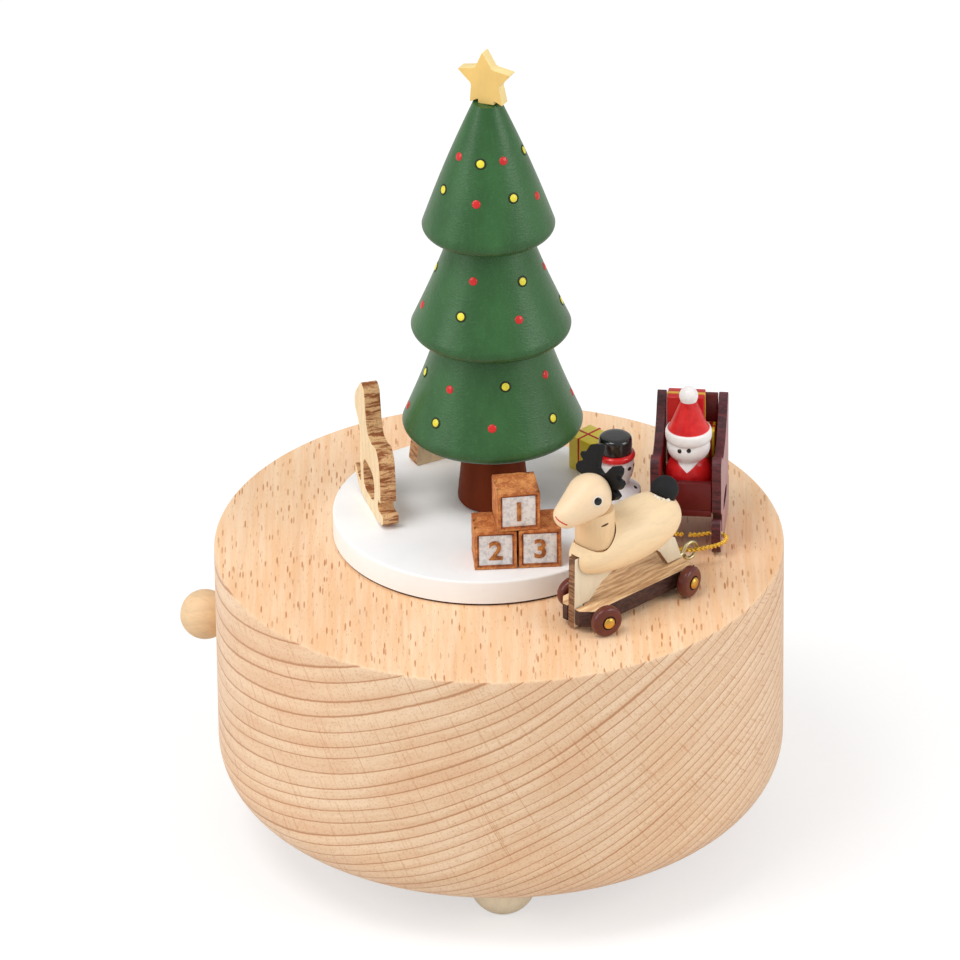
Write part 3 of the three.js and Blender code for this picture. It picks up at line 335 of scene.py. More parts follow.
def drawnTube(name, points, radius, smooth=60, rings=3):
    piece = close(chain(name, points))
    activate(piece)
    bpy.ops.object.convert(target="CURVE")
    piece = bpy.context.object
    piece.data.bevel_depth = radius
    piece.data.bevel_resolution = rings
    piece.data.use_fill_caps = True
    bpy.ops.object.convert(target="MESH")
    piece = newest(name)
    openUp(piece)
    return mended(piece, smooth)


def finished(piece, kind, **settings):              # adds a modifier and applies it
    activate(piece)
    modifier = piece.modifiers.new(kind.lower(), kind)
    for key, value in settings.items():
        setattr(modifier, key, value)
    bpy.ops.object.modifier_apply(modifier=modifier.name)
    return piece


def eased(piece, width, segments=2, angle=30, smooth=35):      # small rounding on every sharp edge
    finished(piece, "BEVEL", width=width, segments=segments, limit_method="ANGLE",
             angle_limit=math.radians(angle), harden_normals=False)
    openUp(piece)
    return mended(piece, smooth)


def removeFrom(piece, cutter):
    finished(piece, "BOOLEAN", operation="DIFFERENCE", solver="EXACT", object=cutter)
    bpy.data.objects.remove(cutter)
    return piece


def joined(name, pieces):
    activate(pieces[0])
    for piece in pieces:
        piece.select_set(True)
    bpy.ops.object.join()
    pieces[0].name = pieces[0].data.name = name
    return pieces[0]


def moved(piece, place):            # still in millimetres
    activate(piece)
    piece.matrix_world = place
    bpy.ops.object.transform_apply(location=True, rotation=True, scale=True)
    return piece


def settled(piece, place=flat):     # from millimetres about its own centre into the frame
    return moved(piece, Matrix.Scale(mm, 4) @ place)


def copyOf(piece, name, place=flat):
    activate(piece)
    bpy.ops.object.duplicate()
    return moved(newest(name), place)


def dressed(node, name):            # a merged copy of a CAD node, back in millimetres
    activate(frame["nodes"][node])
    bpy.ops.object.duplicate()
    piece = newest(name)
    bpy.ops.object.parent_clear(type="CLEAR_KEEP_TRANSFORM")
    for key in list(piece.keys()):
        del piece[key]
    piece.data.materials.clear()
    moved(piece, Matrix.Scale(1 / mm, 4))
    openUp(piece)
    bpy.ops.mesh.remove_doubles(threshold=0.001)
    bpy.ops.mesh.dissolve_limited(angle_limit=math.radians(1))
    return close(piece)


def coloured(piece, *materials):    # faces keep the slot that faceSlots gave them
    chosen = [face.material_index for face in piece.data.polygons]
    piece.data.materials.clear()
    for material in materials:
        piece.data.materials.append(material)
    if len(materials) > 1:
        piece.data.polygons.foreach_set("material_index", chosen)
    return piece


def faceSlots(piece, choose):       # chooses a material slot for each face by its middle and normal
    for face in piece.data.polygons:
        face.material_index = choose(face.center, face.normal)
    return piece


# Settles a piece, unless its place is None, mounts it and colours it. The mount is the body that it
# rides on, its slot in the record, which is not used, and, where it stands for one, the CAD node.
def fitted(piece, place, mount, *materials):
    body, slotName, *nodes = mount
    if place is not None:
        settled(piece, place)
    coloured(piece, *materials)
    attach(piece, body)
    if nodes:
        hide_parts(*nodes)
    return piece


def arc(cx, cy, radius, start, end, steps):
    angles = [math.radians(start + (end - start) * i / steps) for i in range(steps + 1)]
    return [(cx + radius * math.cos(angle), cy + radius * math.sin(angle)) for angle in angles]


def scaledBy(shares, width, height):
    return [(x * width, y * height) for x, y in shares]


# Cuts the corners of a closed outline; sharp points in keep stay
def softened(outline, rounds=2, share=0.25, keep=()):
    for _ in range(rounds):
        cut = []
        for i, (x, y) in enumerate(outline):
            if (x, y) in keep:
                cut.append((x, y))
                continue
            before, after = outline[i - 1], outline[(i + 1) % len(outline)]
            cut.append((x + (before[0] - x) * share, y + (before[1] - y) * share))
            cut.append((x + (after[0] - x) * share, y + (after[1] - y) * share))
        outline = cut
    return outline


# Points of a smooth curve through the given ones, which it passes at an even pace
def smoothLine(points, steps):
    points = [Vector(point) for point in points]
    ends = [2 * points[0] - points[1], *points, 2 * points[-1] - points[-2]]
    line = []
    for k in range(len(points) - 1):
        a, b, c, d = ends[k:k + 4]
        spans = [max((q - p).length ** 0.5, 1e-6) for p, q in ((a, b), (b, c), (c, d))]
        leave = (b - a) / spans[0] - (c - a) / (spans[0] + spans[1]) + (c - b) / spans[1]
        reach = (c - b) / spans[1] - (d - b) / (spans[1] + spans[2]) + (d - c) / spans[2]
        leave, reach = leave * spans[1], reach * spans[1]
        for i in range(steps):
            t = i / steps
            line.append(b * (1 + t * t * (2 * t - 3)) + c * (t * t * (3 - 2 * t))
                        + leave * (t * (t - 1) ** 2) + reach * (t * t * (t - 1)))
    return [*line, points[-1]]


# Tow cord, from its tie behind the front board round one runner, through the screw eye and back
towCord = {
    "points": [
        (-2.6, 0.5, 3.5), (-2.6, 2.5, 3.6), (-3.05, 4.9, 3.8), (-3.05, 6.6, 3.8), (-1.9, 7.75, 3.8),
        (0.6, 7.4, 3.8), (2.9, 4.6, 3.9), (4.1, 1.32, 3.9), (3.3, -2.2, 3.9), (0.6, -6.9, 3.8),
        (-1.9, -7.75, 3.8), (-3.05, -6.6, 3.8), (-3.05, -4.9, 3.8), (-2.6, -2.5, 3.6), (-2.6, -0.5, 3.5),
    ],
    "radius": 0.5,
    "waist": 0.2,                   # radius between the two strands
    "twist": 1.7,                   # millimetres for a whole turn
    "stepsBetween": 22,
    "sectionSteps": 16,
}


def goldThread():
    s = Shader("goldThread")
    vector = s.local(sleighPlace)
    fibres = s.grain(vector, 6, 3.0, 0.5)
    colour = s.mix(s.step(fibres, 0.42, 0.62), (212, 146, 24), (255, 226, 92))
    return s.paint(colour, 0.32 + 0.2 * fibres, fibres, 0.05, metal=0.4)


def addCord(cfg):
    line = smoothLine(cfg["points"], cfg["stepsBetween"])
    count = cfg["sectionSteps"]
    middle, swell = (cfg["radius"] + cfg["waist"]) / 2, (cfg["radius"] - cfg["waist"]) / 2
    section = []
    for i in range(count + 1):
        angle = 2 * math.pi * i / count
        radius = middle + swell * math.cos(2 * angle)
        section.append((radius * math.cos(angle), radius * math.sin(angle), 0))
    shape = close(chain("strandSection", section[:-1]))
    openUp(shape)
    bpy.ops.mesh.edge_face_add()
    bpy.ops.mesh.delete(type="ONLY_FACE")
    close(shape)
    activate(shape)
    bpy.ops.object.convert(target="CURVE")
    shape = bpy.context.object
    cord = close(chain("towCord", line))
    activate(cord)
    bpy.ops.object.convert(target="CURVE")
    cord = bpy.context.object
    cord.data.twist_mode = "Z_UP"
    cord.data.bevel_mode = "OBJECT"
    cord.data.bevel_object = shape
    cord.data.use_fill_caps = True
    walked, before = 0.0, None
    for point in cord.data.splines[0].points:
        here = point.co.to_3d()
        walked += (here - before).length if before is not None else 0.0
        point.tilt = 2 * math.pi * walked / cfg["twist"]
        before = here
    bpy.ops.object.convert(target="MESH")
    cord = newest("towCord")
    bpy.data.objects.remove(shape)
    openUp(cord)
    mended(cord, 60)
    fitted(cord, sleighPlace, ("sleigh", "cord", "tow_cord"), goldThread())
    path = [Matrix.Scale(mm, 4) @ sleighPlace @ point for point in line]
    length = sum((b - a).length for a, b in zip(path, path[1:]))
    print("cord", round(length / mm, 1), "mm")


addCord(towCord)

beechGrain = {
    "pith": (-146.1, 335.0),        # x and z of the tree's heart, far outside the block
    "middle": 335.0,                # its distance from the block's middle
    "ringsPerMm": 0.44,
    "ringsGrow": 0.0024,
    "top": (251, 216, 178),
    "topWarm": (247, 201, 154),
    "endGrain": (243, 212, 178),
    "lateWood": (224, 180, 140),
    "ringLine": (184, 126, 82),
    "fleck": (194, 122, 60),
    "sheen": 0.12,
    # For each kind of ray, a cell's size in mm round the rings, along the grain and along the radius,
    # the distances from its middle where the ray ends and where it is full, the share of cells left
    # bare, and how strongly it shows on the top and on the side
    "rays": (
        ((0.74, 6.0, 15.0), 0.27, 0.18, 0.08, 0.9, 0.3),
        ((0.4, 2.4, 7.0), 0.25, 0.13, 0.4, 0.5, 0.2),
        ((0.5, 9.0, 60.0), 0.18, 0.1, 0.04, 0.0, 0.62),
    ),
}


def beech(name, cfg=beechGrain):
    s = Shader(name)
    vector = s.local()
    wander = s.grain(vector, (0.02, 0.008, 0.02), 1.0, 0.5) - 0.5
    x, y, z = s.split(vector)
    dx = x - cfg["pith"][0]
    dz = cfg["pith"][1] - z
    radius = s.sum("SQRT", dx * dx + dz * dz, 0) + wander * 5
    turn = s.sum("ARCTAN2", dx, dz) * cfg["middle"]
    deep = radius - cfg["middle"]
    rings = deep * (deep * cfg["ringsGrow"] + cfg["ringsPerMm"])
    rings = rings + s.noise(s.join(rings * 0.9, y * 0.01, turn * 0.012), 1.0) * 0.8
    ragged = s.noise(s.join(turn * 0.9, y * 0.2, rings * 2)) - 0.5
    saw = s.sum("FRACT", rings + ragged * 0.06 + 100, 0)
    late = s.step(saw, 0.3, 0.95)
    line = s.step(saw, 0.84, 0.93) * s.step(saw, 1.0, 0.95)
    normalZ = s.split(s.node("TexCoord", {}, {}, "Normal"))[2]
    top = s.step(normalZ, 0.5, 0.9)
    side = 1 - top
    bands = s.noise(s.join(turn * 0.05, y * 0.01, rings * 1.3), 3.0, 0.6)
    pores = s.noise(s.join(turn * 2.6, y * 0.3, radius * 2.6), 3.0, 0.65)
    grit = s.step(pores, 0.5, 0.68)
    streaks = s.noise(s.join(turn * 0.8, y * 0.035, radius * 0.3), 3.0, 0.6)
    warm = s.mix(s.step(streaks, 0.35, 0.65), cfg["top"], cfg["topWarm"])
    shade = s.mix(top, cfg["endGrain"], warm)
    shade = s.mix(s.step(bands, 0.35, 0.7) * (0.42 * side + 0.12), shade, cfg["lateWood"])
    shade = s.mix(late * side * 0.42, shade, cfg["lateWood"])
    shade = s.mix(line * (side * 0.78 + 0.06), shade, cfg["ringLine"])
    shade = s.mix(grit * (side * 0.26 + 0.1), shade, cfg["ringLine"])
    marks = 0
    for cell, low, high, share, onTop, onSide in cfg["rays"]:
        cells = s.join(turn / cell[0], y / cell[1], radius / cell[2])
        near = s.cells(cells, scale=1.0)
        chance = s.split(s.cells(cells, "Color", 1.0))
        strength = s.step(chance[0], share, 1.0) * 0.5 + 0.5
        kept = s.step(chance[1], share, share + 0.02)
        marks = s.step(near, low, high) * kept * strength * (top * onTop + side * onSide) + marks
    marks = s.sum("MINIMUM", marks, 1)
    shade = s.mix(marks, shade, cfg["fleck"])
    cloud = s.grain(vector, (0.05, 0.02, 0.05), 2.0, 0.5)
    shade = s.mix(s.step(cloud, 0.4, 0.65) * 0.22, shade, (243, 210, 176), "MULTIPLY")
    height = pores * 0.5 - marks * 0.6 - line * 0.4
    return s.paint(shade, 0.48 + 0.14 * pores, height, 0.04, sheen=cfg["sheen"])


block = {
    "radius": 55.0, "ceiling": 57.75, "cavity": 47.59, "mouth": 35.84, "rebate": 42.34,
    "sole": 8.75, "cover": 12.75, "ledge": 16.75, "lowerRound": 11.0, "topEdge": 0.6, "sides": 192,
    "knobAngle": 156.9, "knobHeight": 29.9, "knobHole": 2.25, "holeStart": 42.2, "holeEnd": 61.8,
}


def addBlock(cfg, deck):
    wood = beech("beechWood")
    radius = cfg["radius"]
    profile = [
        (0, cfg["ceiling"]), (cfg["cavity"], cfg["ceiling"]), (cfg["cavity"], cfg["ledge"]),
        (cfg["mouth"], cfg["ledge"]), (cfg["mouth"], cfg["cover"]), (cfg["rebate"], cfg["cover"]),
        (cfg["rebate"], cfg["sole"]),
        *arc(radius - cfg["lowerRound"], cfg["sole"] + cfg["lowerRound"], cfg["lowerRound"], -90, 0, 16),
        *arc(radius - cfg["topEdge"], deck - cfg["topEdge"], cfg["topEdge"], 0, 90, 5),
        (0, deck),
    ]
    piece = lathed("beechBlock", profile, cfg["sides"], 30)
    moved(piece, turned(*sites["block"], 0))
    hole = lathed("knobHole", [(0, cfg["holeStart"]), (cfg["knobHole"], cfg["holeStart"]),
                               (cfg["knobHole"], cfg["holeEnd"]), (0, cfg["holeEnd"])], 40)
    moved(hole, turned(*sites["centre"], cfg["knobHeight"], cfg["knobAngle"]) @ layAlongX)
    removeFrom(piece, hole)
    close(piece, 30)
    fitted(piece, flat, ("base", "beech", "base_block"), wood)
    coloured(frame["nodes"]["bottom_cover"], beech("coverWood"))


addBlock(block, sites["deck"])
print("block turned")


# streaks gives how close the fine grain stands in each way
def paleWood(name, colour, place, strength=1.0, rough=0.5, streaks=(2.0, 2.0, 0.4)):
    s = Shader(name)
    vector = s.local(place)
    warp = s.grain(vector, 0.1, 1.0, 0.5)
    x, y, z = s.split(vector)
    rings = s.sum("FRACT", (x * 0.32 + y * 0.14 + warp * 2.2) + 50, 0)
    late = s.step(rings, 0.3, 0.95) * s.step(rings, 1.0, 0.96)
    fine = s.grain(vector, streaks)
    specks = s.cells(s.stretch(vector, 0.8, 0.8, 0.3))
    speck = s.step(specks, 0.14, 0.06)
    shade = s.mix(late * 0.2 * strength, colour, shifted(colour, 0.86))
    shade = s.mix(s.step(fine, 0.45, 0.7) * 0.3 * strength, shade, shifted(colour, 0.9))
    shade = s.mix(speck * 0.3 * strength, shade, (192, 150, 104))
    return s.paint(shade, rough + 0.1 * fine, fine - 0.6 * speck, 0.025)


feet = {
    "places": ((3.917, -36.025), (35.115, 18.012), (-27.282, 18.012)),
    "radius": 6.5, "middle": 5.95, "top": 8.75, "lowAngle": -66.3, "highAngle": 25.5,
}


def addFeet(cfg):
    ball = arc(0, cfg["middle"], cfg["radius"], cfg["lowAngle"], cfg["highAngle"], 20)
    profile = [(0, 0), (ball[0][0], 0), *ball[1:], (0, cfg["top"])]         # with a flat sole
    ball = lathed("footBall", profile, 64, 30)
    for i, (x, y) in enumerate(cfg["places"]):
        place = turned(x, y, 0)
        # The feet are painted a paler wood than the bead and rod: painted light that lifts them out of the
        # shade below the block.
        wood = paleWood(f"footLitWood{i + 1}", (254, 238, 208), turned(x, y, 0, 40 * i), 0.8)
        fitted(copyOf(ball, f"footBall{i + 1}"), place, ("base", "pale_wood", f"foot_{i + 1}"), wood)
    bpy.data.objects.remove(ball)


addFeet(feet)

knob = {
    "radius": 4.95, "bore": 2.35, "rod": 2.0, "rodStart": 8.9, "rodShare": 0.25, "edge": 0.3,
}


def addKnob(cfg, angle, height):
    place = turned(*sites["centre"], height, angle) @ layAlongX
    low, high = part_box("knob_bead")
    middle = (low + high) / 2 / mm
    reach = math.hypot(middle.x - sites["centre"][0], middle.y - sites["centre"][1])
    opening = math.degrees(math.acos((cfg["bore"] + cfg["edge"]) / cfg["radius"]))
    outer = arc(0, reach, cfg["radius"], -opening, opening, 30)
    half = outer[-1][1] - reach
    profile = [(cfg["bore"], reach - half + cfg["edge"]), *outer, (cfg["bore"], reach + half - cfg["edge"]),
               (cfg["bore"], reach - half + cfg["edge"])]
    fitted(lathed("knobBead", profile, 64, 30), place, ("knob", "pale_wood", "knob_bead"),
           paleWood("beadWood", (237, 202, 158), place, 1.2))
    end = reach + cfg["radius"] * cfg["rodShare"]
    rodProfile = [(0, cfg["rodStart"]), (cfg["rod"], cfg["rodStart"]),
                  (cfg["rod"], end - cfg["edge"]), (cfg["rod"] - cfg["edge"], end), (0, end)]
    fitted(lathed("knobRod", rodProfile, 40, 30), place, ("knob", "pale_wood", "knob_rod"),
           paleWood("rodWood", (238, 208, 165), place, 1.0))


addKnob(knob, block["knobAngle"], block["knobHeight"])
print("feet and knob turned")


def enamel(name, colour, place=flat, rough=0.32, coat=0.2, dust=0.25, depth=0.02, shift=0.86, scale=1.0,
           shine=0.3):
    s = Shader(name)
    vector = s.local(place)
    cloud = s.grain(vector, (0.22 * scale, 0.22 * scale, 0.1 * scale))
    fine = s.grain(vector, (2.4 * scale, 2.4 * scale, 1.2 * scale), 3.0, 0.65)
    grit = s.cells(s.stretch(vector, 0.9, 0.9, 0.9))
    mark = s.cells(s.stretch(vector, 0.9, 0.9, 0.9), "Color")
    speck = s.step(grit, 0.13, 0.07) * s.step(s.split(mark)[0], 0.45, 0.5)
    shade = s.mix(s.step(cloud, 0.35, 0.7) * 0.5, colour, shifted(colour, shift))
    shade = s.mix(speck * dust, shade, shifted(colour, 0.6, 100))
    bumps = fine * 0.4 + speck * 0.5 + cloud
    return s.paint(shade, rough + 0.14 * fine, bumps, depth, coat=coat, shine=shine)


platform = {
    "radius": 29.3, "height": 5.25, "edge": 0.4, "undercut": 0.35, "undercutHeight": 0.42, "sides": 160,
}


def addPlatform(cfg):
    radius, height, edge = cfg["radius"], cfg["height"], cfg["edge"]
    profile = [
        (0, 0), (radius - cfg["undercut"], 0), (radius - cfg["undercut"], cfg["undercutHeight"]),
        (radius, cfg["undercutHeight"] + 0.1),
        *arc(radius - edge, height - edge, edge, 0, 90, 4), (0, height),
    ]
    piece = lathed("whitePlatform", profile, cfg["sides"], 30)
    faceSlots(piece, lambda middle, normal: 1 if middle.z < cfg["undercutHeight"] else 0)
    place = turned(*sites["centre"], sites["deck"])
    white = enamel("platformWhite", (252, 252, 252), place, 0.42, 0.1, 0.0, 0.02, 0.98)
    # The undercut's faces are painted dark brown: a painted shadow in the thin gap below the platform's
    # edge.
    under = enamel("platformGapShade", (70, 38, 26), place, 0.8, 0.0, 0.2)
    fitted(piece, place, ("base", "white_paint", "platform"), white, under)


addPlatform(platform)

tree = {
    "trunk": {"height": 16.5, "foot": 6.9, "top": 5.4, "round": 1.3},
    "radius": 17.4, "height": 69.0, "rim": 1.5, "sides": 112, "flankSteps": 18,
    # A tier's sizes are shares of the tree's radius, and its height is one of the tree's height. The
    # pixels are where the photograph shows its dots.
    "tiers": {
        "bottom": {
            "radius": 1.0, "top": 0.592, "height": 0.301, "sag": 0.017, "side": 0.0,
            "red": ((449.6, 389.6), (545.5, 374.5), (408.2, 405.2), (492.1, 428.8), (575.5, 391.8)),
            "yellow": ((425.4, 371.8), (505.5, 386.8), (435.7, 423), (552.9, 418.2)),
        },
        "middle": {
            "radius": 0.885, "top": 0.425, "height": 0.312, "sag": 0.017, "side": -0.006,
            "red": ((473, 281.4), (544.3, 266), (422.3, 304.6), (519.1, 319.8)),
            "yellow": ((434.1, 266.8), (522.5, 281.4), (460.9, 316.8), (561.3, 300.4)),
        },
        "top": {
            "radius": 0.733, "top": 0.158046, "height": 0.387, "sag": -0.02, "side": -0.023,
            "red": ((458.9, 156.6), (503.5, 161), (476.1, 204.5), (537.2, 195.7)),
            "yellow": ((480.5, 164.2), (523.7, 150), (443.4, 189.6), (513.5, 198.2)),
        },
    },
    "crownRise": 0.45,              # the last tier is this much taller, up to its flat top
    "dotRadius": 0.84, "ringRadius": 1.16, "dotRise": 0.16, "middlePixel": 488,
    "twinBelow": 0.72,              # dots that face the camera have twins on the far side
}


def lacquer(name, place):
    s = Shader(name)
    vector = s.local(place)
    z = s.split(vector)[2]
    cloud = s.grain(vector, (0.16, 0.16, 0.05))
    fine = s.grain(vector, (1.6, 1.6, 0.9), 4.0, 0.65)
    creases = s.grain(vector, (0.7, 0.7, 1.6))
    cells = s.stretch(vector, 0.42, 0.42, 0.42)
    near = s.cells(cells)
    mark = s.cells(cells, "Color")
    dust = s.step(near, 0.07, 0.03) * s.step(s.split(mark)[0], 0.55, 0.6)
    shade = s.mix(s.step(cloud, 0.3, 0.7), (42, 88, 43), (52, 101, 53))
    # Painted shade: each tier's green is darkened towards its lower rim, where the rounded underside turns
    # from the light.
    low = s.step(z + cloud * 2.4, 4.4, 1.2)
    shade = s.mix(low * 0.85, shade, (34, 72, 28))
    shade = s.mix(s.step(fine, 0.5, 0.75) * 0.22, shade, (74, 124, 78))
    shade = s.mix(dust * 0.5, shade, (150, 190, 158))
    ridge = abs(creases - 0.5)
    return s.paint(shade, 0.3 + 0.14 * fine, fine * 0.5 + dust * 0.6 + ridge * 2.5, 0.07, coat=0.3,
                   coatRough=0.3, shine=0.3)


def flatBead(name, radius, rise):   # a low round drop of paint, modelled once and copied
    bpy.ops.object.select_all(action="DESELECT")
    bpy.ops.mesh.primitive_uv_sphere_add(segments=20, ring_count=10, radius=radius)
    piece = newest(name)
    openUp(piece)
    bpy.ops.mesh.bisect(plane_co=(0, 0, 0), plane_no=(0, 0, 1), use_fill=True, clear_inner=True)
    bpy.ops.mesh.select_all(action="SELECT")
    bpy.ops.transform.resize(value=(1, 1, rise / radius), center_override=(0, 0, 0))
    return mended(piece, 60)


def beadOn(bead, name, spot, normal, sink=0.03, turn=0.0, stretch=1.0):
    way = normal.to_track_quat("Z", "Y").to_matrix().to_4x4()
    place = Matrix.Translation((spot - normal * sink * mm) / mm) @ way @ Matrix.Rotation(turn, 4, "Z")
    return settled(copyOf(bead, name), place @ Matrix.Diagonal((stretch, 1, 1, 1)))


def addDots(piece, node, tier, cfg, axis, bead, ring, paints):
    half = Matrix.Translation(axis * mm) @ Matrix.Rotation(math.pi, 4, "Z") @ Matrix.Translation(-axis * mm)
    rims = []
    for colour in ("red", "yellow"):
        dots = []
        for i, (px, py) in enumerate(tier[colour]):
            spot, normal = seenAt(piece, px, py, (cfg["middlePixel"], py))
            spots = [(spot, normal)]
            if abs(normal.x) < cfg["twinBelow"]:
                spots.append((half @ spot, half.to_3x3() @ normal))
            for spot, normal in spots:
                dots.append(beadOn(bead, f"dot{i}", spot, normal))
                if colour == "yellow":
                    rims.append(beadOn(ring, f"rim{i}", spot, normal))
        drops = close(joined(f"{colour}Dots_{node}", dots), 60)
        fitted(drops, None, ("base", f"{colour}_paint"), paints[colour])
    edges = close(joined(f"dotRims_{node}", rims), 60)
    fitted(edges, None, ("base", "green_lacquer"), paints["rim"])


def addTree(cfg):
    x, y = sites["tree"]
    trunk = cfg["trunk"]
    profile = [(0, 0), *arc(trunk["foot"] - trunk["round"], trunk["round"], trunk["round"], -90, 0, 6),
               (trunk["top"], trunk["height"]), (0, trunk["height"])]
    place = turned(x, y, sites["stand"])
    fitted(lathed("treeTrunk", profile, 64, 30), place, ("base", "dark_wood", "tree_trunk"),
           enamel("trunkStain", (112, 42, 10), place, 0.5, 0.0, 0.06, 0.03, 0.6, 0.8, 0.12))
    bead = flatBead("paintDrop", cfg["dotRadius"], cfg["dotRise"] + 0.1)
    ring = flatBead("paintRim", cfg["ringRadius"], cfg["dotRise"] * 0.9)
    paints = {
        "red": enamel("dotRed", (214, 38, 36), flat, 0.3, 0.3, 0.0),
        "yellow": enamel("dotYellow", (240, 226, 64), flat, 0.3, 0.3, 0.0),
        "rim": enamel("dotRim", (34, 50, 22), flat, 0.5, 0.0, 0.0),
    }
    z = sites["stand"] + trunk["height"]
    rim = cfg["rim"]
    for name, tier in cfg["tiers"].items():
        radius, top = tier["radius"] * cfg["radius"], tier["top"] * cfg["radius"]
        height = tier["height"] * cfg["height"]
        if name == "top":
            height += cfg["crownRise"]
        flank = []
        for k in range(1, cfg["flankSteps"] + 1):
            share = k / cfg["flankSteps"]
            sag = tier["sag"] * cfg["radius"] * math.sin(math.pi * share)
            flank.append((radius + (top - radius) * share - sag, rim + (height - rim) * share))
        profile = [(0, 0), *arc(radius - rim, rim, rim, -90, 0, 8), *flank, (0, height)]
        place = turned(x + tier["side"] * cfg["radius"], y, z)
        node = f"tree_tier_{name}"
        piece = lathed(f"treeTier_{name}", profile, cfg["sides"], 30)
        fitted(piece, place, ("base", "green_lacquer", node), lacquer("lacquer_" + node, place))
        axis = Vector((place.translation.x, place.translation.y, 0))
        addDots(piece, node, tier, cfg, axis, bead, ring, paints)
        z += height
    bpy.data.objects.remove(bead)
    bpy.data.objects.remove(ring)


addTree(tree)
print("tree painted")


# A board's sawn edge, streaked by its layers and scorched
def sawnPly(name, place, pale, dark, burn, rough=0.62):
    s = Shader(name)
    vector = s.local(place)
    x, y, z = s.split(vector)
    wave = s.grain(vector, 0.35, 2.0, 0.5)
    streak = s.noise(s.join(x * 0.8 + wave, y * 0.2, z * 1.5 + wave * 2), 3.0, 0.6)
    fine = s.grain(vector, 3, 3.0, 0.65)
    shade = s.mix(s.step(streak, 0.42, 0.6), pale, dark)
    shade = s.mix(s.step(fine, 0.5, 0.72) * 0.6, shade, burn)
    return s.paint(shade, rough + 0.15 * fine, fine + streak, 0.08)


star = {"outer": 6.0, "inner": 3.1, "thickness": 2.2, "place": (2.5665, 6.9, 157.1), "turn": -28.0,
        "lean": -4.0, "seat": 1.7, "seatTop": -3.94, "foot": -4.85, "corners": (1, 0.07),
        "ease": (0.28, 2, 25)}


def addStar(cfg):
    outline = []
    for i in range(10):
        radius = cfg["inner"] if i % 2 else cfg["outer"]
        angle = math.pi / 2 + i * math.pi / 5
        outline.append((radius * math.cos(angle), radius * math.sin(angle)))
    seat, top, foot = cfg["seat"], cfg["seatTop"], cfg["foot"]
    outline[5:6] = [(-seat, top), (-seat, foot), (seat, foot), (seat, top)]    # it stands on this
    piece = sawn("treeStar", softened(outline, *cfg["corners"]), cfg["thickness"])
    moved(piece, turned(0, 0, 0, 0, cfg["lean"]) @ standUp)
    eased(piece, *cfg["ease"])
    faceSlots(piece, lambda middle, normal: 0 if abs(normal.y) > 0.9 else 1)
    place = turned(*cfg["place"], cfg["turn"])
    # The edge faces are painted a lighter ochre than the flat faces: a painted highlight on the star's
    # eased edges.
    fitted(piece, place, ("base", "ochre_paint", "star"),
           enamel("starOchre", (246, 206, 124), place, 0.5, 0.05, 0.2, 0.05, 0.9),
           enamel("starEdgeHighlight", (249, 224, 158), place, 0.5, 0.05, 0.2, 0.05, 0.93))


addStar(star)

# Toys sawn from board: their outlines in shares of width and height, how often and how far its
# corners are cut, and how wide its edges are eased
toys = {
    "rockingHorse": {
        "node": "rocking_horse", "width": 20.0, "height": 25.2, "thickness": 3.2,
        "place": (-19.483, 4.3), "turn": 105.7, "corners": (2, 0.2), "keep": (), "ease": (0.18, 2, 40),
        "outline": (
            (-0.5, 0.13), (-0.475, 0.03), (-0.3, 0.004), (0, 0), (0.3, 0.008), (0.5, 0.1), (0.52, 0.2),
            (0.4, 0.125), (0.3, 0.1), (0.31, 0.26), (0.33, 0.42), (0.3, 0.52), (0.36, 0.62), (0.5, 0.7),
            (0.47, 0.82), (0.33, 0.93), (0.24, 1), (0.14, 0.97), (0.11, 0.85), (0.08, 0.72), (0.02, 0.62),
            (-0.12, 0.6), (-0.26, 0.63), (-0.37, 0.55), (-0.4, 0.38), (-0.41, 0.19), (-0.34, 0.22),
            (-0.3, 0.12), (-0.4, 0.12),
        ),
        "opening": ((-0.17, 0.11), (0.19, 0.11), (0.21, 0.3), (0.16, 0.37), (-0.12, 0.36), (-0.2, 0.28)),
        "face": (244, 218, 176), "figure": 1.6, "edge": ((232, 186, 132), (150, 84, 38), (104, 50, 20)),
    },
    "toyCottage": {
        "node": "toy_cottage", "width": 12.0, "height": 13.0, "thickness": 3.2,
        "place": (-7.3833, 24.4), "turn": 28.0, "corners": (2, 0.08), "keep": ((0, 1),),
        "ease": (0.2, 2, 30),
        "outline": ((-0.5, 0.04), (-0.46, 0), (0.46, 0), (0.5, 0.04), (0.42, 0.55), (0.46, 0.58), (0, 1),
                    (-0.46, 0.58), (-0.42, 0.55)),
        "opening": (),
        "face": (226, 198, 158), "figure": 1.5, "edge": ((190, 140, 92), (134, 84, 46), (96, 56, 28)),
    },
}


def addToys(cfg):
    for name, toy in cfg.items():
        outline, opening, keep = [scaledBy(toy[part], toy["width"], toy["height"])
                                  for part in ("outline", "opening", "keep")]
        piece = sawn(name, softened(outline, *toy["corners"], keep), toy["thickness"])
        if opening:
            removeFrom(piece, sawn("toyOpening", softened(opening, *toy["corners"]), toy["thickness"] * 2))
        eased(piece, *toy["ease"])
        faceSlots(piece, lambda middle, normal: 0 if abs(normal.z) > 0.8 else 1)
        place = turned(*toy["place"], sites["stand"], toy["turn"])
        kind = toy["node"].split("_")[1]
        face = paleWood(kind + "Face", toy["face"], place, toy["figure"], 0.6, (1.6, 1.6, 1.6))
        edge = sawnPly(kind + "Edge", place, *toy["edge"])
        fitted(piece, place @ standUp, ("base", "plywood", toy["node"]), face, edge)


addToys(toys)
print("star, horse and cottage sawn")

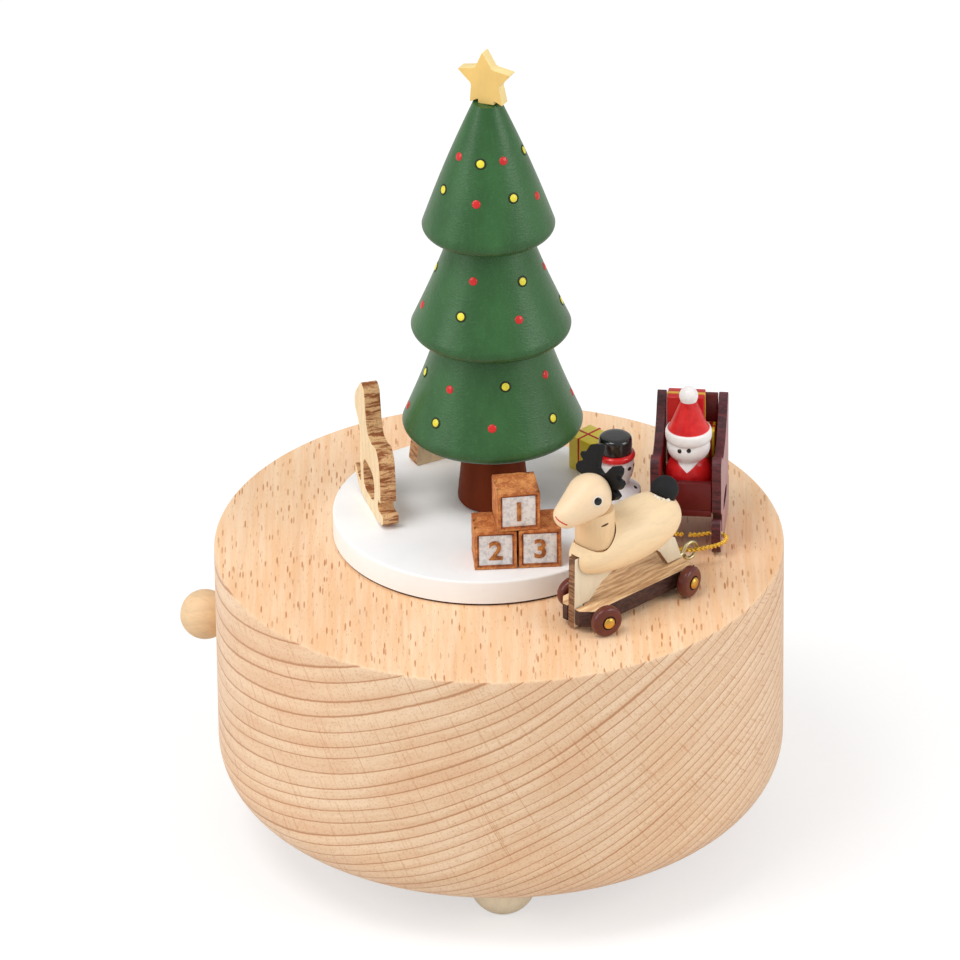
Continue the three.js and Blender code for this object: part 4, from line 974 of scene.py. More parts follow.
blocks = {
    "size": 8.25, "edge": 0.3, "frame": 0.62, "groove": 0.2, "panelDepth": 0.2, "wear": 0.14,
    "numeral": 5.535,               # size of the type; a numeral is about 0.7 of it tall
    "stroke": 0.12,                 # what its strokes are widened by
    "places": {                     # numeral: node, x, y, height over the platform, turn
        "1": ("block_one", 7.2167, -16.7, 8.25, 8.0),
        "2": ("block_two", 2.977, -16.996, 0.0, 4.0),
        "3": ("block_three", 11.4563, -16.404, 0.0, 4.0),
    },
}


def scorched(name, place, light, dark):
    s = Shader(name)
    vector = s.local(place)
    blotch = s.grain(vector, 0.55, 3.0, 0.65)
    fine = s.grain(vector, 3.2, 4.0, 0.7)
    shade = s.mix(s.step(blotch, 0.36, 0.62), light, dark)
    shade = s.mix(s.step(fine, 0.5, 0.66) * 0.55, shade, shifted(dark, 0.72))
    shade = s.mix(s.step(fine, 0.45, 0.3) * 0.5, shade, shifted(light, 1.12))
    return s.paint(shade, 0.6 + 0.2 * fine, fine + blotch, 0.16)


def chalky(name, place, light, dark):
    s = Shader(name)
    vector = s.local(place)
    fine = s.grain(vector, 1.4, 5.0, 0.7)
    shade = s.mix(s.step(fine, 0.42, 0.66), light, dark)
    return s.paint(shade, 0.5 + 0.2 * fine, fine, 0.12)


def numeralOn(text, cfg, name):     # raised numeral, made a mesh before it is placed
    bpy.ops.object.select_all(action="DESELECT")
    bpy.ops.object.text_add()
    letter = bpy.context.object
    letter.data.body = text
    letter.data.size = cfg["numeral"]
    letter.data.align_x, letter.data.align_y = "CENTER", "CENTER"
    letter.data.extrude = cfg["panelDepth"] / 2
    letter.data.offset = cfg["stroke"]
    bpy.ops.object.convert(target="MESH")
    letter = newest(name)
    openUp(letter)
    mended(letter, 30)
    reach = [Vector(corner) for corner in letter.bound_box]
    middle = sum(reach, Vector()) / 8
    moved(letter, turned(-middle.x, -middle.y, 0))
    return letter


def addBlocks(cfg):
    half = cfg["size"] / 2
    groove, deep = cfg["groove"], cfg["panelDepth"]
    for numeral, (node, x, y, rise, turn) in cfg["places"].items():
        piece = boxed(f"toyBlock{numeral}", (-half, -half, 0), (half, half, cfg["size"]))
        openUp(piece, "FACE")
        pick(piece, lambda face: abs(face.normal.y) > 0.9)
        for thickness, depth in ((cfg["frame"], 0), (groove, -deep * 1.3), (groove * 0.6, deep * 0.3)):
            bpy.ops.mesh.inset(thickness=thickness, depth=depth, use_individual=True)
        close(piece)
        inner = half - cfg["frame"] - 0.01

        def chosen(middle, normal):             # wood, panel or the scorched groove round the panel
            across, out = max(abs(middle.x), abs(middle.z - half)), abs(middle.y)
            if out > half - 0.6 and across < inner - groove and abs(normal.y) > 0.9:
                return 1
            return 2 if half - 0.6 < out < half - 0.01 and across < inner else 0

        faceSlots(piece, chosen)
        eased(piece, cfg["edge"], 3, 60, 40)
        place = turned(x, y, sites["stand"] + rise, turn)
        finished(piece, "SUBSURF", subdivision_type="SIMPLE", levels=3, render_levels=3)
        roughen(piece, cfg["wear"], x + rise)
        brown = scorched(f"blockBrown{numeral}", place, (226, 150, 84), (184, 100, 46))
        panel = chalky(f"blockPanel{numeral}", place, (240, 238, 238), (206, 204, 208))
        char = scorched(f"blockChar{numeral}", place, (190, 104, 42), (118, 54, 20))
        fitted(piece, place, ("base", "plywood", node), brown, panel, char)
        marks = []
        for side, spin in (("front", 0.0), ("back", 180.0)):
            letter = numeralOn(numeral, cfg, f"numeral{numeral}{side}")
            front = turned(0, 0, 0, spin) @ turned(0, -half + deep * 0.6, half)
            marks.append(settled(letter, place @ front @ standUp))
        pair = joined(f"blockNumeral{numeral}", marks)
        fitted(pair, None, ("base", "plywood"),
               scorched(f"numeralBrown{numeral}", place, (216, 142, 66), (150, 78, 28)))


# Small uneven dents on a hand-finished piece, from sums of waves along three slanted ways
def roughen(piece, depth, phase=0.0):
    corners = [(corner.co.copy(), corner.normal.copy()) for corner in piece.data.vertices]
    for corner, (spot, normal) in zip(piece.data.vertices, corners):
        x, y, z = spot
        push = (math.sin(1.9 * x + 1.1 * z + phase) * math.sin(1.7 * y - 2.3 * x + 2 * phase)
                + math.sin(2.9 * z - 1.3 * y + phase) * math.sin(3.1 * x + 0.7 * y))
        corner.co = spot - normal * depth * (0.5 + 0.25 * push)


addBlocks(blocks)
print("blocks made")

gift = {"side": 6.0, "height": 7.2, "place": (21.9167, 19.2), "turn": 45.0, "proud": 0.12, "edge": 0.25,
        "bands": ((0, 0.35, 0.42), (1, -0.25, 0.42))}       # the way each runs, where, and its width


# A wrapped box with a band over its top and down its sides in each way that is given
def wrapped(name, low, high, cfg):
    edge, proud = cfg["edge"], cfg["proud"]
    piece = boxed(name, low, high)
    eased(piece, edge, 3, 30, 40)
    strips = []
    for i, (along, at, width) in enumerate(cfg["bands"]):
        start, end = Vector(low), Vector(high)
        across = 1 - along
        start[across], end[across] = at - width / 2, at + width / 2
        start[along] -= proud
        end[along] += proud
        end.z += proud
        start.z += 0.02
        strip = boxed(f"{name}Band{i}", start, end)
        strips.append(eased(strip, min(edge, width * 0.3), 2, 30, 40))
    return piece, joined(name + "Ribbon", strips)


def addGift(cfg):
    half = cfg["side"] / 2
    box, ribbon = wrapped("largeGift", (-half, -half, 0), (half, half, cfg["height"]), cfg)
    place = turned(*cfg["place"], sites["stand"], cfg["turn"])
    yellow = enamel("giftYellow", (255, 232, 60), place, 0.28, 0.4, 0.1, 0.05, 0.92)
    fitted(box, place, ("base", "yellow_paint", "gift_large"), yellow)
    fitted(ribbon, place, ("base", "red_paint"),
           enamel("giftRibbon", (214, 40, 30), place, 0.3, 0.3, 0.0))


addGift(gift)

snowman = {
    "place": (26.5167, 3.0), "radius": 5.0, "height": 11.2, "brim": 3.8, "hatHeight": 4.6,
    "underHat": 0.3,                # the head goes up into the hat by this much
    "shape": ((0, 0), (0.84, 0), (0.95, 0.06), (1, 0.223), (0.97, 0.379), (0.8, 0.448), (0.6, 0.5),
              (0.518, 0.534), (0.58, 0.6), (0.677, 0.695), (0.72, 0.807), (0.72, 0.93)),
    "hat": ((0.8, 0.12), (0.84, 0.3), (0.86, 0.6), (0.85, 0.84), (0.81, 0.93), (0.72, 0.985), (0.5, 1),
            (0, 1)),
    "torus": (3.15, 0.72, 11.75),   # middle radius, thickness, height above the platform
    "drop": (0.42, 0.12),           # radius and rise of a painted dot
    "eyeStretch": 1.25, "mouthStretch": 0.9, "mouthSink": 0.06,
    "eye": (629.6, 468.8), "mouth": (632.2, 475.4), "button": (635.4, 487.0), "middlePixel": 618,
}


def twinSpot(axis, spot, normal, middle):           # mirrors a place to the other side of the face
    turn = Vector((middle.x - axis[0] * mm, middle.y - axis[1] * mm, 0)).normalized()
    side = Vector((-turn.y, turn.x, 0))
    out = Vector((spot.x - axis[0] * mm, spot.y - axis[1] * mm, 0))
    return spot - 2 * out.dot(side) * side, normal - 2 * normal.dot(side) * side


def addSnowman(cfg):
    x, y = cfg["place"]
    place = turned(x, y, sites["stand"])
    body = [(r * cfg["radius"], z * cfg["height"]) for r, z in cfg["shape"]]
    crown = cfg["height"] + cfg["underHat"]
    piece = lathed("snowmanBody", [*body, (cfg["brim"] * 0.7, crown), (0, crown)], 72, 40)
    fitted(piece, place, ("base", "white_paint", "snowman"),
           enamel("snowWhite", (246, 246, 247), place, 0.26, 0.4, 0.0, 0.04, 0.97))
    hatPoints = [(r * cfg["brim"], cfg["height"] + z * cfg["hatHeight"]) for r, z in cfg["hat"]]
    fitted(lathed("snowmanHat", [(0, hatPoints[0][1]), *hatPoints], 64, 40), place,
           ("base", "black_paint"), hatPaint(place, cfg))
    middle, thick, height = cfg["torus"]
    ring = lathed("hatBrim", arc(middle, height, thick, 0, 360, 16), 64, 60)
    fitted(ring, place, ("base", "red_paint"), enamel("brimRed", (222, 24, 26), place, 0.16, 0.7, 0.0))
    dot = flatBead("smallDrop", *cfg["drop"])
    middle, mouthNormal = seenAt(piece, *cfg["mouth"], (cfg["middlePixel"], cfg["mouth"][1]))
    spot, normal = seenAt(piece, *cfg["eye"])
    far = twinSpot(cfg["place"], spot, normal, middle)
    eyes = [beadOn(dot, "eyeNear", spot, normal, stretch=cfg["eyeStretch"]),
            beadOn(dot, "eyeFar", *far, stretch=cfg["eyeStretch"]),
            beadOn(dot, "button", *seenAt(piece, *cfg["button"], (cfg["middlePixel"], cfg["button"][1])))]
    mouth = beadOn(dot, "snowmanMouth", middle, mouthNormal, cfg["mouthSink"], 0, cfg["mouthStretch"])
    marks = joined("snowmanEyes", eyes)
    fitted(marks, None, ("base", "black_paint"), enamel("snowBlack", (16, 16, 18), place, 0.25, 0.3, 0.0))
    fitted(mouth, None, ("base", "red_paint"),
           enamel("mouthPink", (232, 150, 148), place, 0.35, 0.2, 0.0))
    bpy.data.objects.remove(dot)


def hatPaint(place, cfg):
    s = Shader("hatBlack")
    vector = s.local(place)
    z = s.split(vector)[2]
    cloud = s.grain(vector, 0.5)
    fine = s.grain(vector, 2.5)
    wornTop, wornEnd = cfg["height"] + 3.1, cfg["height"] + 1.9
    worn = s.step(z + cloud * 2.2, wornTop, wornEnd) * s.step(cloud, 0.42, 0.6)
    shade = s.mix(worn * 0.8, (14, 13, 13), (104, 34, 22))
    return s.paint(shade, 0.14 + 0.14 * fine, fine + cloud, 0.04, coat=0.6)


addSnowman(snowman)
print("gift and snowman made")

cart = {
    "front": 13.2, "rear": 12.9, "frontRadius": 5.2, "rearRadius": 6.4, "bodyZ": 15.3, "tilt": 4.5,
    "fullness": 0.72, "eggSteps": 30, "neckRadius": 3.8, "neckX": 7.9, "neckBottom": 16.4,
    "neckTop": 24.0, "seat": 0.25,
    "legPly": 1.7, "bellyTop": 11.6, "slotTop": 15.6, "chestFrom": 10.2,
    "headX": 9.3, "headZ": 27.05, "headRadius": 4.4, "snoutRadius": 2.6, "snoutReach": 6.1,
    "headDrop": 17.5,               # degrees that the nose points down
    "antlerX": 5.3, "antlerZ": 29.3, "antlerRise": 6.4, "antlerPly": 1.5, "antlerLean": 16.0,
    "antlerRoll": -10.0, "antlerNotch": 3.2, "tailRadius": 2.7, "tailX": -10.5, "tailZ": 20.9,
    # The antler on the outer side, then that on the inner side: its reach, and its outline in shares of
    # that reach and of the rise
    "antlerSides": (
        (5.12, ((0, 0.1), (0.1, 0.26), (0.27, 0.55), (0.455, 0.65), (0.633, 0.61), (0.68, 0.46),
                (0.643, 0.3), (0.85, 0.3), (0.93, 0.24), (0.9, 0.08), (0.815, -0.02), (0.62, -0.06),
                (0.8, -0.1), (0.966, -0.16), (0.883, -0.32), (0.7, -0.44), (0.5, -0.48), (0.3, -0.36),
                (0.12, -0.28), (0, -0.24))),
        (-7.1, ((0, 0.1), (0.16, 0.11), (0.31, 0.17), (0.36, 0.36), (0.41, 0.72), (0.47, 0.86),
                (0.6, 0.82), (0.77, 0.68), (0.83, 0.38), (0.97, 0.33), (0.99, 0.22), (0.9, 0.15),
                (0.82, 0.12), (0.98, -0.03), (1.0, -0.16), (0.95, -0.28), (0.75, -0.3), (0.5, -0.22),
                (0.3, -0.18), (0.16, -0.2), (0, -0.24))),
    ),
    "nearEye": (598, 501.4), "eyeRim": (1.15, 0.1), "eyeDrop": (0.85, 0.2),     # radius and rise
    "mouth": ((555.6, 516.6), (557.6, 519.4), (560.6, 521.8), (564.2, 523.8), (567.2, 525.0)),
    "mouthRadius": 0.14,
    "dimple": (605.0, 525.2), "dimpleTurn": 100, "dimpleStretch": 0.35, "dimpleSink": 0.12,
    "glue": ((655, 496), (658.3, 498), (663.3, 499.6), (668.3, 500.2), (672.2, 498.6)),
    "glueDrop": (0.42, 0.42), "glueSink": 0.1, "glueStretch": 0.3,      # every other drop is longer
    "woodColour": (252, 222, 178),
}


def addPlank():
    piece = dressed("cart_plank", "cartBoard")
    eased(piece, 0.14, 2, 35, 35)
    faceSlots(piece, lambda middle, normal: 0 if normal.z > 0.7 else 1)
    s = Shader("boardTop")
    vector = s.local(cartPlace)
    x, y, z = s.split(vector)
    wave = s.grain(vector, (0.12, 0.3, 0.3), 1.0, 0.5)
    streak = s.noise(s.join(x * 0.16, y * 1.5 + wave * 2, z), 4.0, 0.65)
    fine = s.noise(s.join(x * 0.8, y * 6, z * 6))
    shade = s.mix(s.step(streak, 0.38, 0.64), (250, 214, 166), (204, 158, 112))
    shade = s.mix(s.step(fine, 0.56, 0.72) * 0.35, shade, (150, 104, 68))
    top = s.paint(shade, 0.5 + 0.15 * fine, streak + fine, 0.05)
    side = sawnPly("boardEdge", cartPlace, (76, 44, 36), (52, 26, 24), (28, 12, 12), 0.5)
    fitted(piece, flat, ("cart", "dark_wood", "cart_plank"), top, side)


def addLegs():
    piece = dressed("leg_plate", "reindeerLegs")
    eased(piece, 0.1, 2, 35, 35)
    side = cartPlace.to_3x3() @ Vector((0, 1, 0))
    faceSlots(piece, lambda middle, normal: 0 if abs(normal.dot(side)) > 0.8 else 1)
    fitted(piece, flat, ("cart", "plywood", "leg_plate"),
           paleWood("legFace", (238, 224, 196), cartPlace, 0.7, 0.55),
           sawnPly("legEdge", cartPlace, (158, 116, 82), (106, 68, 44), (70, 40, 26)))


def addReindeer(cfg):
    egg = []
    steps, rearRadius = cfg["eggSteps"], cfg["rearRadius"]
    for k in range(steps + 1):
        angle = math.pi * (k / steps - 0.5)
        along = math.sin(angle)
        full = rearRadius + (cfg["frontRadius"] - rearRadius) * (1 + along) / 2
        radius = 0 if k in (0, steps) else full * math.cos(angle) ** cfg["fullness"]
        egg.append((radius, along * (cfg["front"] if along > 0 else cfg["rear"])))
    piece = lathed("reindeerBody", egg, 72, 40)
    moved(piece, turned(0, 0, cfg["bodyZ"], 0, cfg["tilt"]) @ layAlongX)
    wide, gap = cfg["legPly"] / 2 + cfg["seat"], cfg["seat"]
    past = cfg["front"] + cfg["rear"]           # past both ends of the body
    legSlot = boxed("legSlot", (-past, -wide, -1), (past, wide, cfg["bellyTop"] + gap))
    chestSlot = boxed("chestSlot", (cfg["chestFrom"] - gap, -wide, -1), (past, wide, cfg["slotTop"]))
    for slot in (legSlot, chestSlot):
        removeFrom(piece, slot)
    bore = cfg["neckRadius"] + gap

    def neckPocket(low, high):
        pocket = lathed("neckPocket", [(0, low), (bore, low), (bore, high), (0, high)], 64)
        return moved(pocket, turned(cfg["neckX"], 0, 0))

    removeFrom(piece, neckPocket(cfg["neckBottom"] - gap, cfg["neckTop"]))
    hollow = lathed("tailHollow", arc(0, 0, cfg["tailRadius"] + gap, -90, 90, 16), 32)
    removeFrom(piece, moved(hollow, turned(cfg["tailX"], 0, cfg["tailZ"])))
    eased(piece, 0.22, 2, 50, 40)
    wood = paleWood("reindeerWood", cfg["woodColour"], cartPlace @ layAlongX, 0.7, 0.42, (1.6, 1.6, 0.4))
    fitted(piece, cartPlace, ("cart", "pale_wood", "reindeer_body"), wood)

    neck, foot, top = cfg["neckRadius"], cfg["neckBottom"], cfg["neckTop"]
    profile = [(0, foot), (neck - 0.4, foot), (neck, foot + 0.5), (neck, top - 0.2), (neck - 0.2, top),
               (0, top)]
    neckPiece = lathed("reindeerNeck", profile, 64, 40)
    fitted(neckPiece, cartPlace @ turned(cfg["neckX"], 0, 0), ("cart", "pale_wood", "reindeer_neck"),
           paleWood("neckWood", (243, 208, 162), cartPlace, 0.8, 0.45))

    lean = math.degrees(math.asin((cfg["headRadius"] - cfg["snoutRadius"]) / cfg["snoutReach"]))
    profile = [*arc(0, 0, cfg["headRadius"], -90, lean, 22),
               *arc(0, cfg["snoutReach"], cfg["snoutRadius"], lean, 90, 14)]
    head = lathed("reindeerHead", profile, 64, 50)
    moved(head, turned(cfg["headX"], 0, cfg["headZ"], 0, cfg["headDrop"]) @ layAlongX)
    removeFrom(head, neckPocket(0, cfg["neckTop"] + gap))
    thick = cfg["antlerPly"] / 2 + gap
    reach = rise = cfg["antlerRise"]
    antlerSpot = turned(cfg["antlerX"], 0, cfg["antlerZ"], 0, -cfg["antlerLean"])
    notch = boxed("antlerNotch", (-cfg["headRadius"], -reach, -cfg["antlerNotch"]), (thick, reach, rise))
    removeFrom(head, moved(notch, antlerSpot))
    eased(head, 0.15, 2, 50, 40)
    fitted(head, cartPlace, ("cart", "pale_wood", "reindeer_head"),
           paleWood("headWood", (244, 215, 177), cartPlace @ layAlongX, 0.45, 0.4))
    return piece, neckPiece, head


def addFace(cfg, neckPiece, head):
    rim = flatBead("eyeRim", *cfg["eyeRim"])
    pupil = flatBead("eyeDrop", *cfg["eyeDrop"])
    rims, pupils = [], []
    near, nearNormal = seenAt(head, *cfg["nearEye"])
    flip = cartPlace @ Matrix.Scale(-1, 4, (0, 1, 0)) @ cartPlace.inverted()
    far = (flip @ (near / mm)) * mm
    for i, (spot, normal) in enumerate(((near, nearNormal), (far, flip.to_3x3() @ nearNormal))):
        rims.append(beadOn(rim, f"rim{i}", spot, normal))
        pupils.append(beadOn(pupil, f"pupil{i}", spot, normal))
    black = joined("reindeerEyes", pupils)
    fitted(black, None, ("cart", "black_paint"), enamel("eyeBlack", (12, 12, 14), flat, 0.2, 0.5, 0.0))
    pale = joined("reindeerEyeRims", rims)
    fitted(pale, None, ("cart", "pale_wood"), enamel("eyePale", (240, 226, 204), flat, 0.4, 0.2, 0.0))
    spots = [seenAt(head, *pixel)[0] / mm for pixel in cfg["mouth"]]
    smile = drawnTube("reindeerMouth", smoothLine(spots, 6), cfg["mouthRadius"])
    fitted(smile, flat, ("cart", "red_paint"), enamel("mouthRed", (214, 70, 52), flat, 0.4, 0.1, 0.0))
    # A dark brown drop sunk nearly flush on the neck: painted shade standing for a small dimple.
    spot, normal = seenAt(neckPiece, *cfg["dimple"])
    mark = beadOn(pupil, "neckDimpleShade", spot, normal, cfg["dimpleSink"], math.radians(cfg["dimpleTurn"]),
                  cfg["dimpleStretch"])
    fitted(mark, None, ("cart", "pale_wood"), enamel("dimpleShadeBrown", (96, 70, 44), flat, 0.7, 0.0, 0.0))
    for drop in (rim, pupil):
        bpy.data.objects.remove(drop)


def addAntlers(cfg):
    outer, inner = [scaledBy(shares, reach, cfg["antlerRise"]) for reach, shares in cfg["antlerSides"]]
    piece = sawn("reindeerAntlers", softened(outer + inner[-2:0:-1], 1, 0.12), cfg["antlerPly"])
    eased(piece, 0.16, 2, 25, 35)
    quarter = Matrix.Rotation(math.radians(90), 4, "Z")
    spot = cartPlace @ turned(cfg["antlerX"], 0, cfg["antlerZ"], 0, -cfg["antlerLean"])
    roll = Matrix.Rotation(math.radians(cfg["antlerRoll"]), 4, "X")
    fitted(piece, spot @ roll @ quarter @ standUp, ("cart", "black_paint", "antlers"),
           enamel("antlerBlack", (12, 12, 13), spot, 0.4, 0.0, 0.06, 0.16, 0.6, 1.0, 0.22))


def addTail(cfg, body):
    place = cartPlace @ turned(cfg["tailX"], 0, cfg["tailZ"])
    tail = lathed("reindeerTail", arc(0, 0, cfg["tailRadius"], -90, 90, 28), 56, 60)
    fitted(tail, place, ("cart", "black_paint", "tail_ball"),
           enamel("tailBlack", (28, 29, 31), place, 0.66, 0.0, 0.15, 0.1, 0.86))
    drop = flatBead("glueDrop", *cfg["glueDrop"])
    beads = []
    for i, (px, py) in enumerate(cfg["glue"]):
        spot, normal = seenAt(body, px, py)
        longer = 1.0 + cfg["glueStretch"] * (i % 2)
        beads.append(beadOn(drop, f"glue{i}", spot, normal, cfg["glueSink"], i, longer))
    glue = joined("tailGlue", beads)
    s = Shader("clearGlue")
    milk = s.noise(s.local(cartPlace), scale=1.5)
    fitted(glue, None, ("cart", "pale_wood"),
           s.paint(s.mix(milk, (226, 208, 176), (250, 246, 236)), 0.12 + 0.1 * milk, milk, 0.03, coat=0.6))
    bpy.data.objects.remove(drop)


wheels = {
    "radius": 3.1, "thickness": 2.2, "round": 0.8, "bore": 0.65, "side": 6.25, "halfAngle": 13.47,
    "track": 39.25, "cartAngle": -47.3, "nail": 0.5, "head": 1.15, "headRise": 0.45, "gap": 0.15,
    "ring": (1.2, 1.42, 0.16),      # groove in the wheel's face: inner and outer radius, and depth
}


def metal(name, colour, place=flat, rough=0.3):
    s = Shader(name)
    vector = s.local(place)
    brushed = s.grain(vector, (3, 3, 0.3))
    stain = s.grain(vector, 0.3)
    shade = s.mix(s.step(stain, 0.4, 0.68) * 0.6, colour, shifted(colour, 0.8))
    return s.paint(shade, rough + 0.18 * brushed, brushed, 0.015, metal=1.0)


def addWheels(cfg):
    half = math.radians(cfg["halfAngle"])
    nailPaint = metal("nailBrass", (222, 176, 84), flat, 0.28)
    for end, sign in (("front", -1), ("rear", 1)):
        angle = cfg["cartAngle"] + sign * cfg["halfAngle"]
        place = turned(*sites["centre"], sites["deck"] + cfg["radius"], angle) @ layAlongX
        reaches = {"outer": (cfg["track"] + cfg["side"]) / math.cos(half),
                   "inner": (cfg["track"] - cfg["side"]) / math.cos(half)}
        for side, reach in reaches.items():
            low, high = reach - cfg["thickness"] / 2, reach + cfg["thickness"] / 2
            bore, soft, edge = cfg["bore"], cfg["round"], cfg["radius"] - cfg["round"]
            inside, outside, deep = cfg["ring"]
            profile = [
                (bore, low), (inside, low), (inside, low + deep), (outside, low + deep), (outside, low),
                *arc(edge, low + soft, soft, -90, 0, 7), *arc(edge, high - soft, soft, 0, 90, 7),
                (outside, high), (outside, high - deep), (inside, high - deep), (inside, high),
                (bore, high), (bore, low),
            ]
            piece = lathed(f"{end}{side.title()}Wheel", profile, 56, 40)

            def groove(middle, normal):
                away = math.hypot(middle.x, middle.y)
                deepest = abs(middle.z - reach) < cfg["thickness"] / 2 - 0.01
                return 1 if away < outside + 0.03 and deepest and away > inside - 0.05 else 0

            faceSlots(piece, groove)
            brown = enamel(f"wheelBrown_{end}_{side}", (106, 46, 34), place, 0.3, 0.3, 0.2, 0.04, 0.78)
            # The groove's faces are painted near black: painted shade in the narrow ring round each nail
            # head.
            dark = enamel(f"wheelGrooveShade_{end}_{side}", (44, 16, 12), place, 0.6, 0.0, 0.0)
            mount = (f"{end}_{side}_wheel", "wheel_paint", f"wheel_{end}_{side}")
            fitted(piece, place, mount, brown, dark)
        low = reaches["inner"] - cfg["thickness"] / 2 - cfg["gap"]
        high = reaches["outer"] + cfg["thickness"] / 2 + cfg["gap"]
        head, rise = cfg["head"], cfg["headRise"]
        dome = [(0, rise), (head * 0.55, rise * 0.92), (head * 0.9, rise * 0.5), (head, 0),
                (cfg["nail"], 0)]
        profile = [*[(r, low - z) for r, z in dome], *[(r, high + z) for r, z in reversed(dome)]]
        fitted(lathed(f"{end}Nail", profile, 40, 50), place, ("cart", "brass", f"axle_{end}"), nailPaint)


eye = {"x": -18.6, "y": -1.4, "z": 3.9, "radius": 1.7, "wire": 0.38, "neck": 2.3, "shankEnd": 7.4,
       "opening": 21.6}


def addScrewEye(cfg):
    ring = [(x, 0, z) for x, z in arc(0, 0, cfg["radius"], cfg["opening"], 360 - cfg["opening"], 14)]
    points = [(cfg["shankEnd"], 0, 0), (cfg["neck"], 0, 0), *ring]
    wire = drawnTube("screwEye", smoothLine(points, 5), cfg["wire"], 60, 4)
    fitted(wire, cartPlace @ turned(cfg["x"], cfg["y"], cfg["z"]), ("cart", "brass", "screw_eye"),
           metal("eyeBrass", (226, 214, 166), cartPlace, 0.3))


addPlank()
addLegs()
bodyPiece, neckPiece, headPiece = addReindeer(cart)
addFace(cart, neckPiece, headPiece)
addAntlers(cart)
addTail(cart, bodyPiece)
addWheels(wheels)
addScrewEye(eye)
coloured(frame["nodes"]["cart_magnet"], metal("magnetGrey", (150, 152, 156), cartPlace, 0.35))
print("cart made")

sleigh = {
    "length": 20.4, "height": 26.4, "half": 5.95, "ply": 1.8, "edgeBelow": 0.8,
    "side": ((0.08, 0.008), (0.88, 0), (0.98, 0.06), (1, 0.2), (0.99, 0.28), (0.91, 0.33), (0.95, 0.46),
             (0.93, 0.68), (0.96, 0.96), (0.92, 1), (0.86, 0.96), (0.74, 0.83), (0.56, 0.73), (0.37, 0.69),
             (0.265, 0.7), (0.21, 0.755), (0.14, 0.77), (0.08, 0.735), (0.06, 0.67), (0.083, 0.49),
             (0.07, 0.35), (0.11, 0.315), (0.2, 0.29), (0.2, 0.12), (0.15, 0.095), (0.105, 0.12),
             (0.1, 0.265), (0.06, 0.3), (0.015, 0.275), (0, 0.19), (0.015, 0.06)),
    "slot": ((0.35, 0.24), (0.54, 0.22), (0.74, 0.25), (0.75, 0.31), (0.54, 0.35), (0.36, 0.315)),
}


def addSleigh(cfg):
    outline = softened(scaledBy(cfg["side"], -cfg["length"], cfg["height"]), 2, 0.2)
    slot = softened(scaledBy(cfg["slot"], -cfg["length"], cfg["height"]), 2, 0.2)
    # The outer faces' mauve is partly the ply's own pinkish face and partly a painted sheen on the maroon
    # paint.
    outerFaceSheen = enamel("sleighMauveSheen", (186, 144, 142), sleighPlace, 0.5, 0.0, 0.3, 0.06, 0.8)
    edge = sawnPly("sleighEdge", sleighPlace, (98, 38, 44), (62, 18, 26), (34, 10, 14), 0.45)
    # The inner faces are painted a brighter red than the boards: painted light that lifts them where they
    # stand in shade.
    red = enamel("sleighInnerLitRed", (176, 24, 28), sleighPlace, 0.38, 0.12, 0.2, 0.06, 0.7)
    for name, side in (("left", 1), ("right", -1)):
        piece = sawn(f"sleighSide_{name}", outline, cfg["ply"])
        removeFrom(piece, sawn("sideSlot", slot, cfg["ply"] * 2))
        eased(piece, 0.16, 2, 40)
        moved(piece, turned(0, side * cfg["half"], 0) @ standUp)
        faceSlots(piece, lambda middle, normal:
                  1 if abs(normal.y) < cfg["edgeBelow"] else (0 if normal.y * side > 0 else 2))
        mount = ("sleigh", "maroon_paint", f"sleigh_side_{name}")
        fitted(piece, sleighPlace, mount, outerFaceSheen, edge, red)
    for node, name in (("sleigh_floor", "sleighFloor"), ("sleigh_front_board", "sleighFrontBoard"),
                       ("sleigh_back_board", "sleighBackBoard")):
        piece = eased(dressed(node, name), 0.15, 2, 35)
        fitted(piece, flat, ("sleigh", "maroon_paint", node),
               enamel(name + "Red", (98, 10, 10), sleighPlace, 0.4, 0.15, 0.25, 0.07, 0.7))


addSleigh(sleigh)

santa = {
    "back": 8.6, "radius": 4.6, "height": 23.15, "floor": 9.4,
    "shape": ((0, 0), (0.86, 0), (0.96, 0.03), (1, 0.089), (0.99, 0.16), (0.96, 0.24), (0.88, 0.285),
              (0.76, 0.32), (0.64, 0.345), (0.69, 0.358), (0.78, 0.376), (0.85, 0.4), (0.89, 0.427),
              (0.905, 0.455), (0.897, 0.48), (0.87, 0.5), (0.845, 0.508), (0.88, 0.513), (0.945, 0.524),
              (0.975, 0.547), (0.982, 0.573), (0.972, 0.6), (0.93, 0.617), (0.84, 0.625),
              (0.342, 0.872), (0.37, 0.889), (0.401, 0.915), (0.389, 0.94), (0.335, 0.964), (0.245, 0.983),
              (0.13, 0.996), (0, 1)),
    # Heights where the colour changes, in shares of the figure's, and half the width of an edge in mm
    "neck": 0.355, "brimTop": 0.621, "bobble": 0.876, "beardTip": 0.281, "beardSlope": 0.75, "sharp": 0.06,
    "eyes": ((679.4, 451.2), (688.9, 451.0)), "drop": (0.44, 0.14),
}


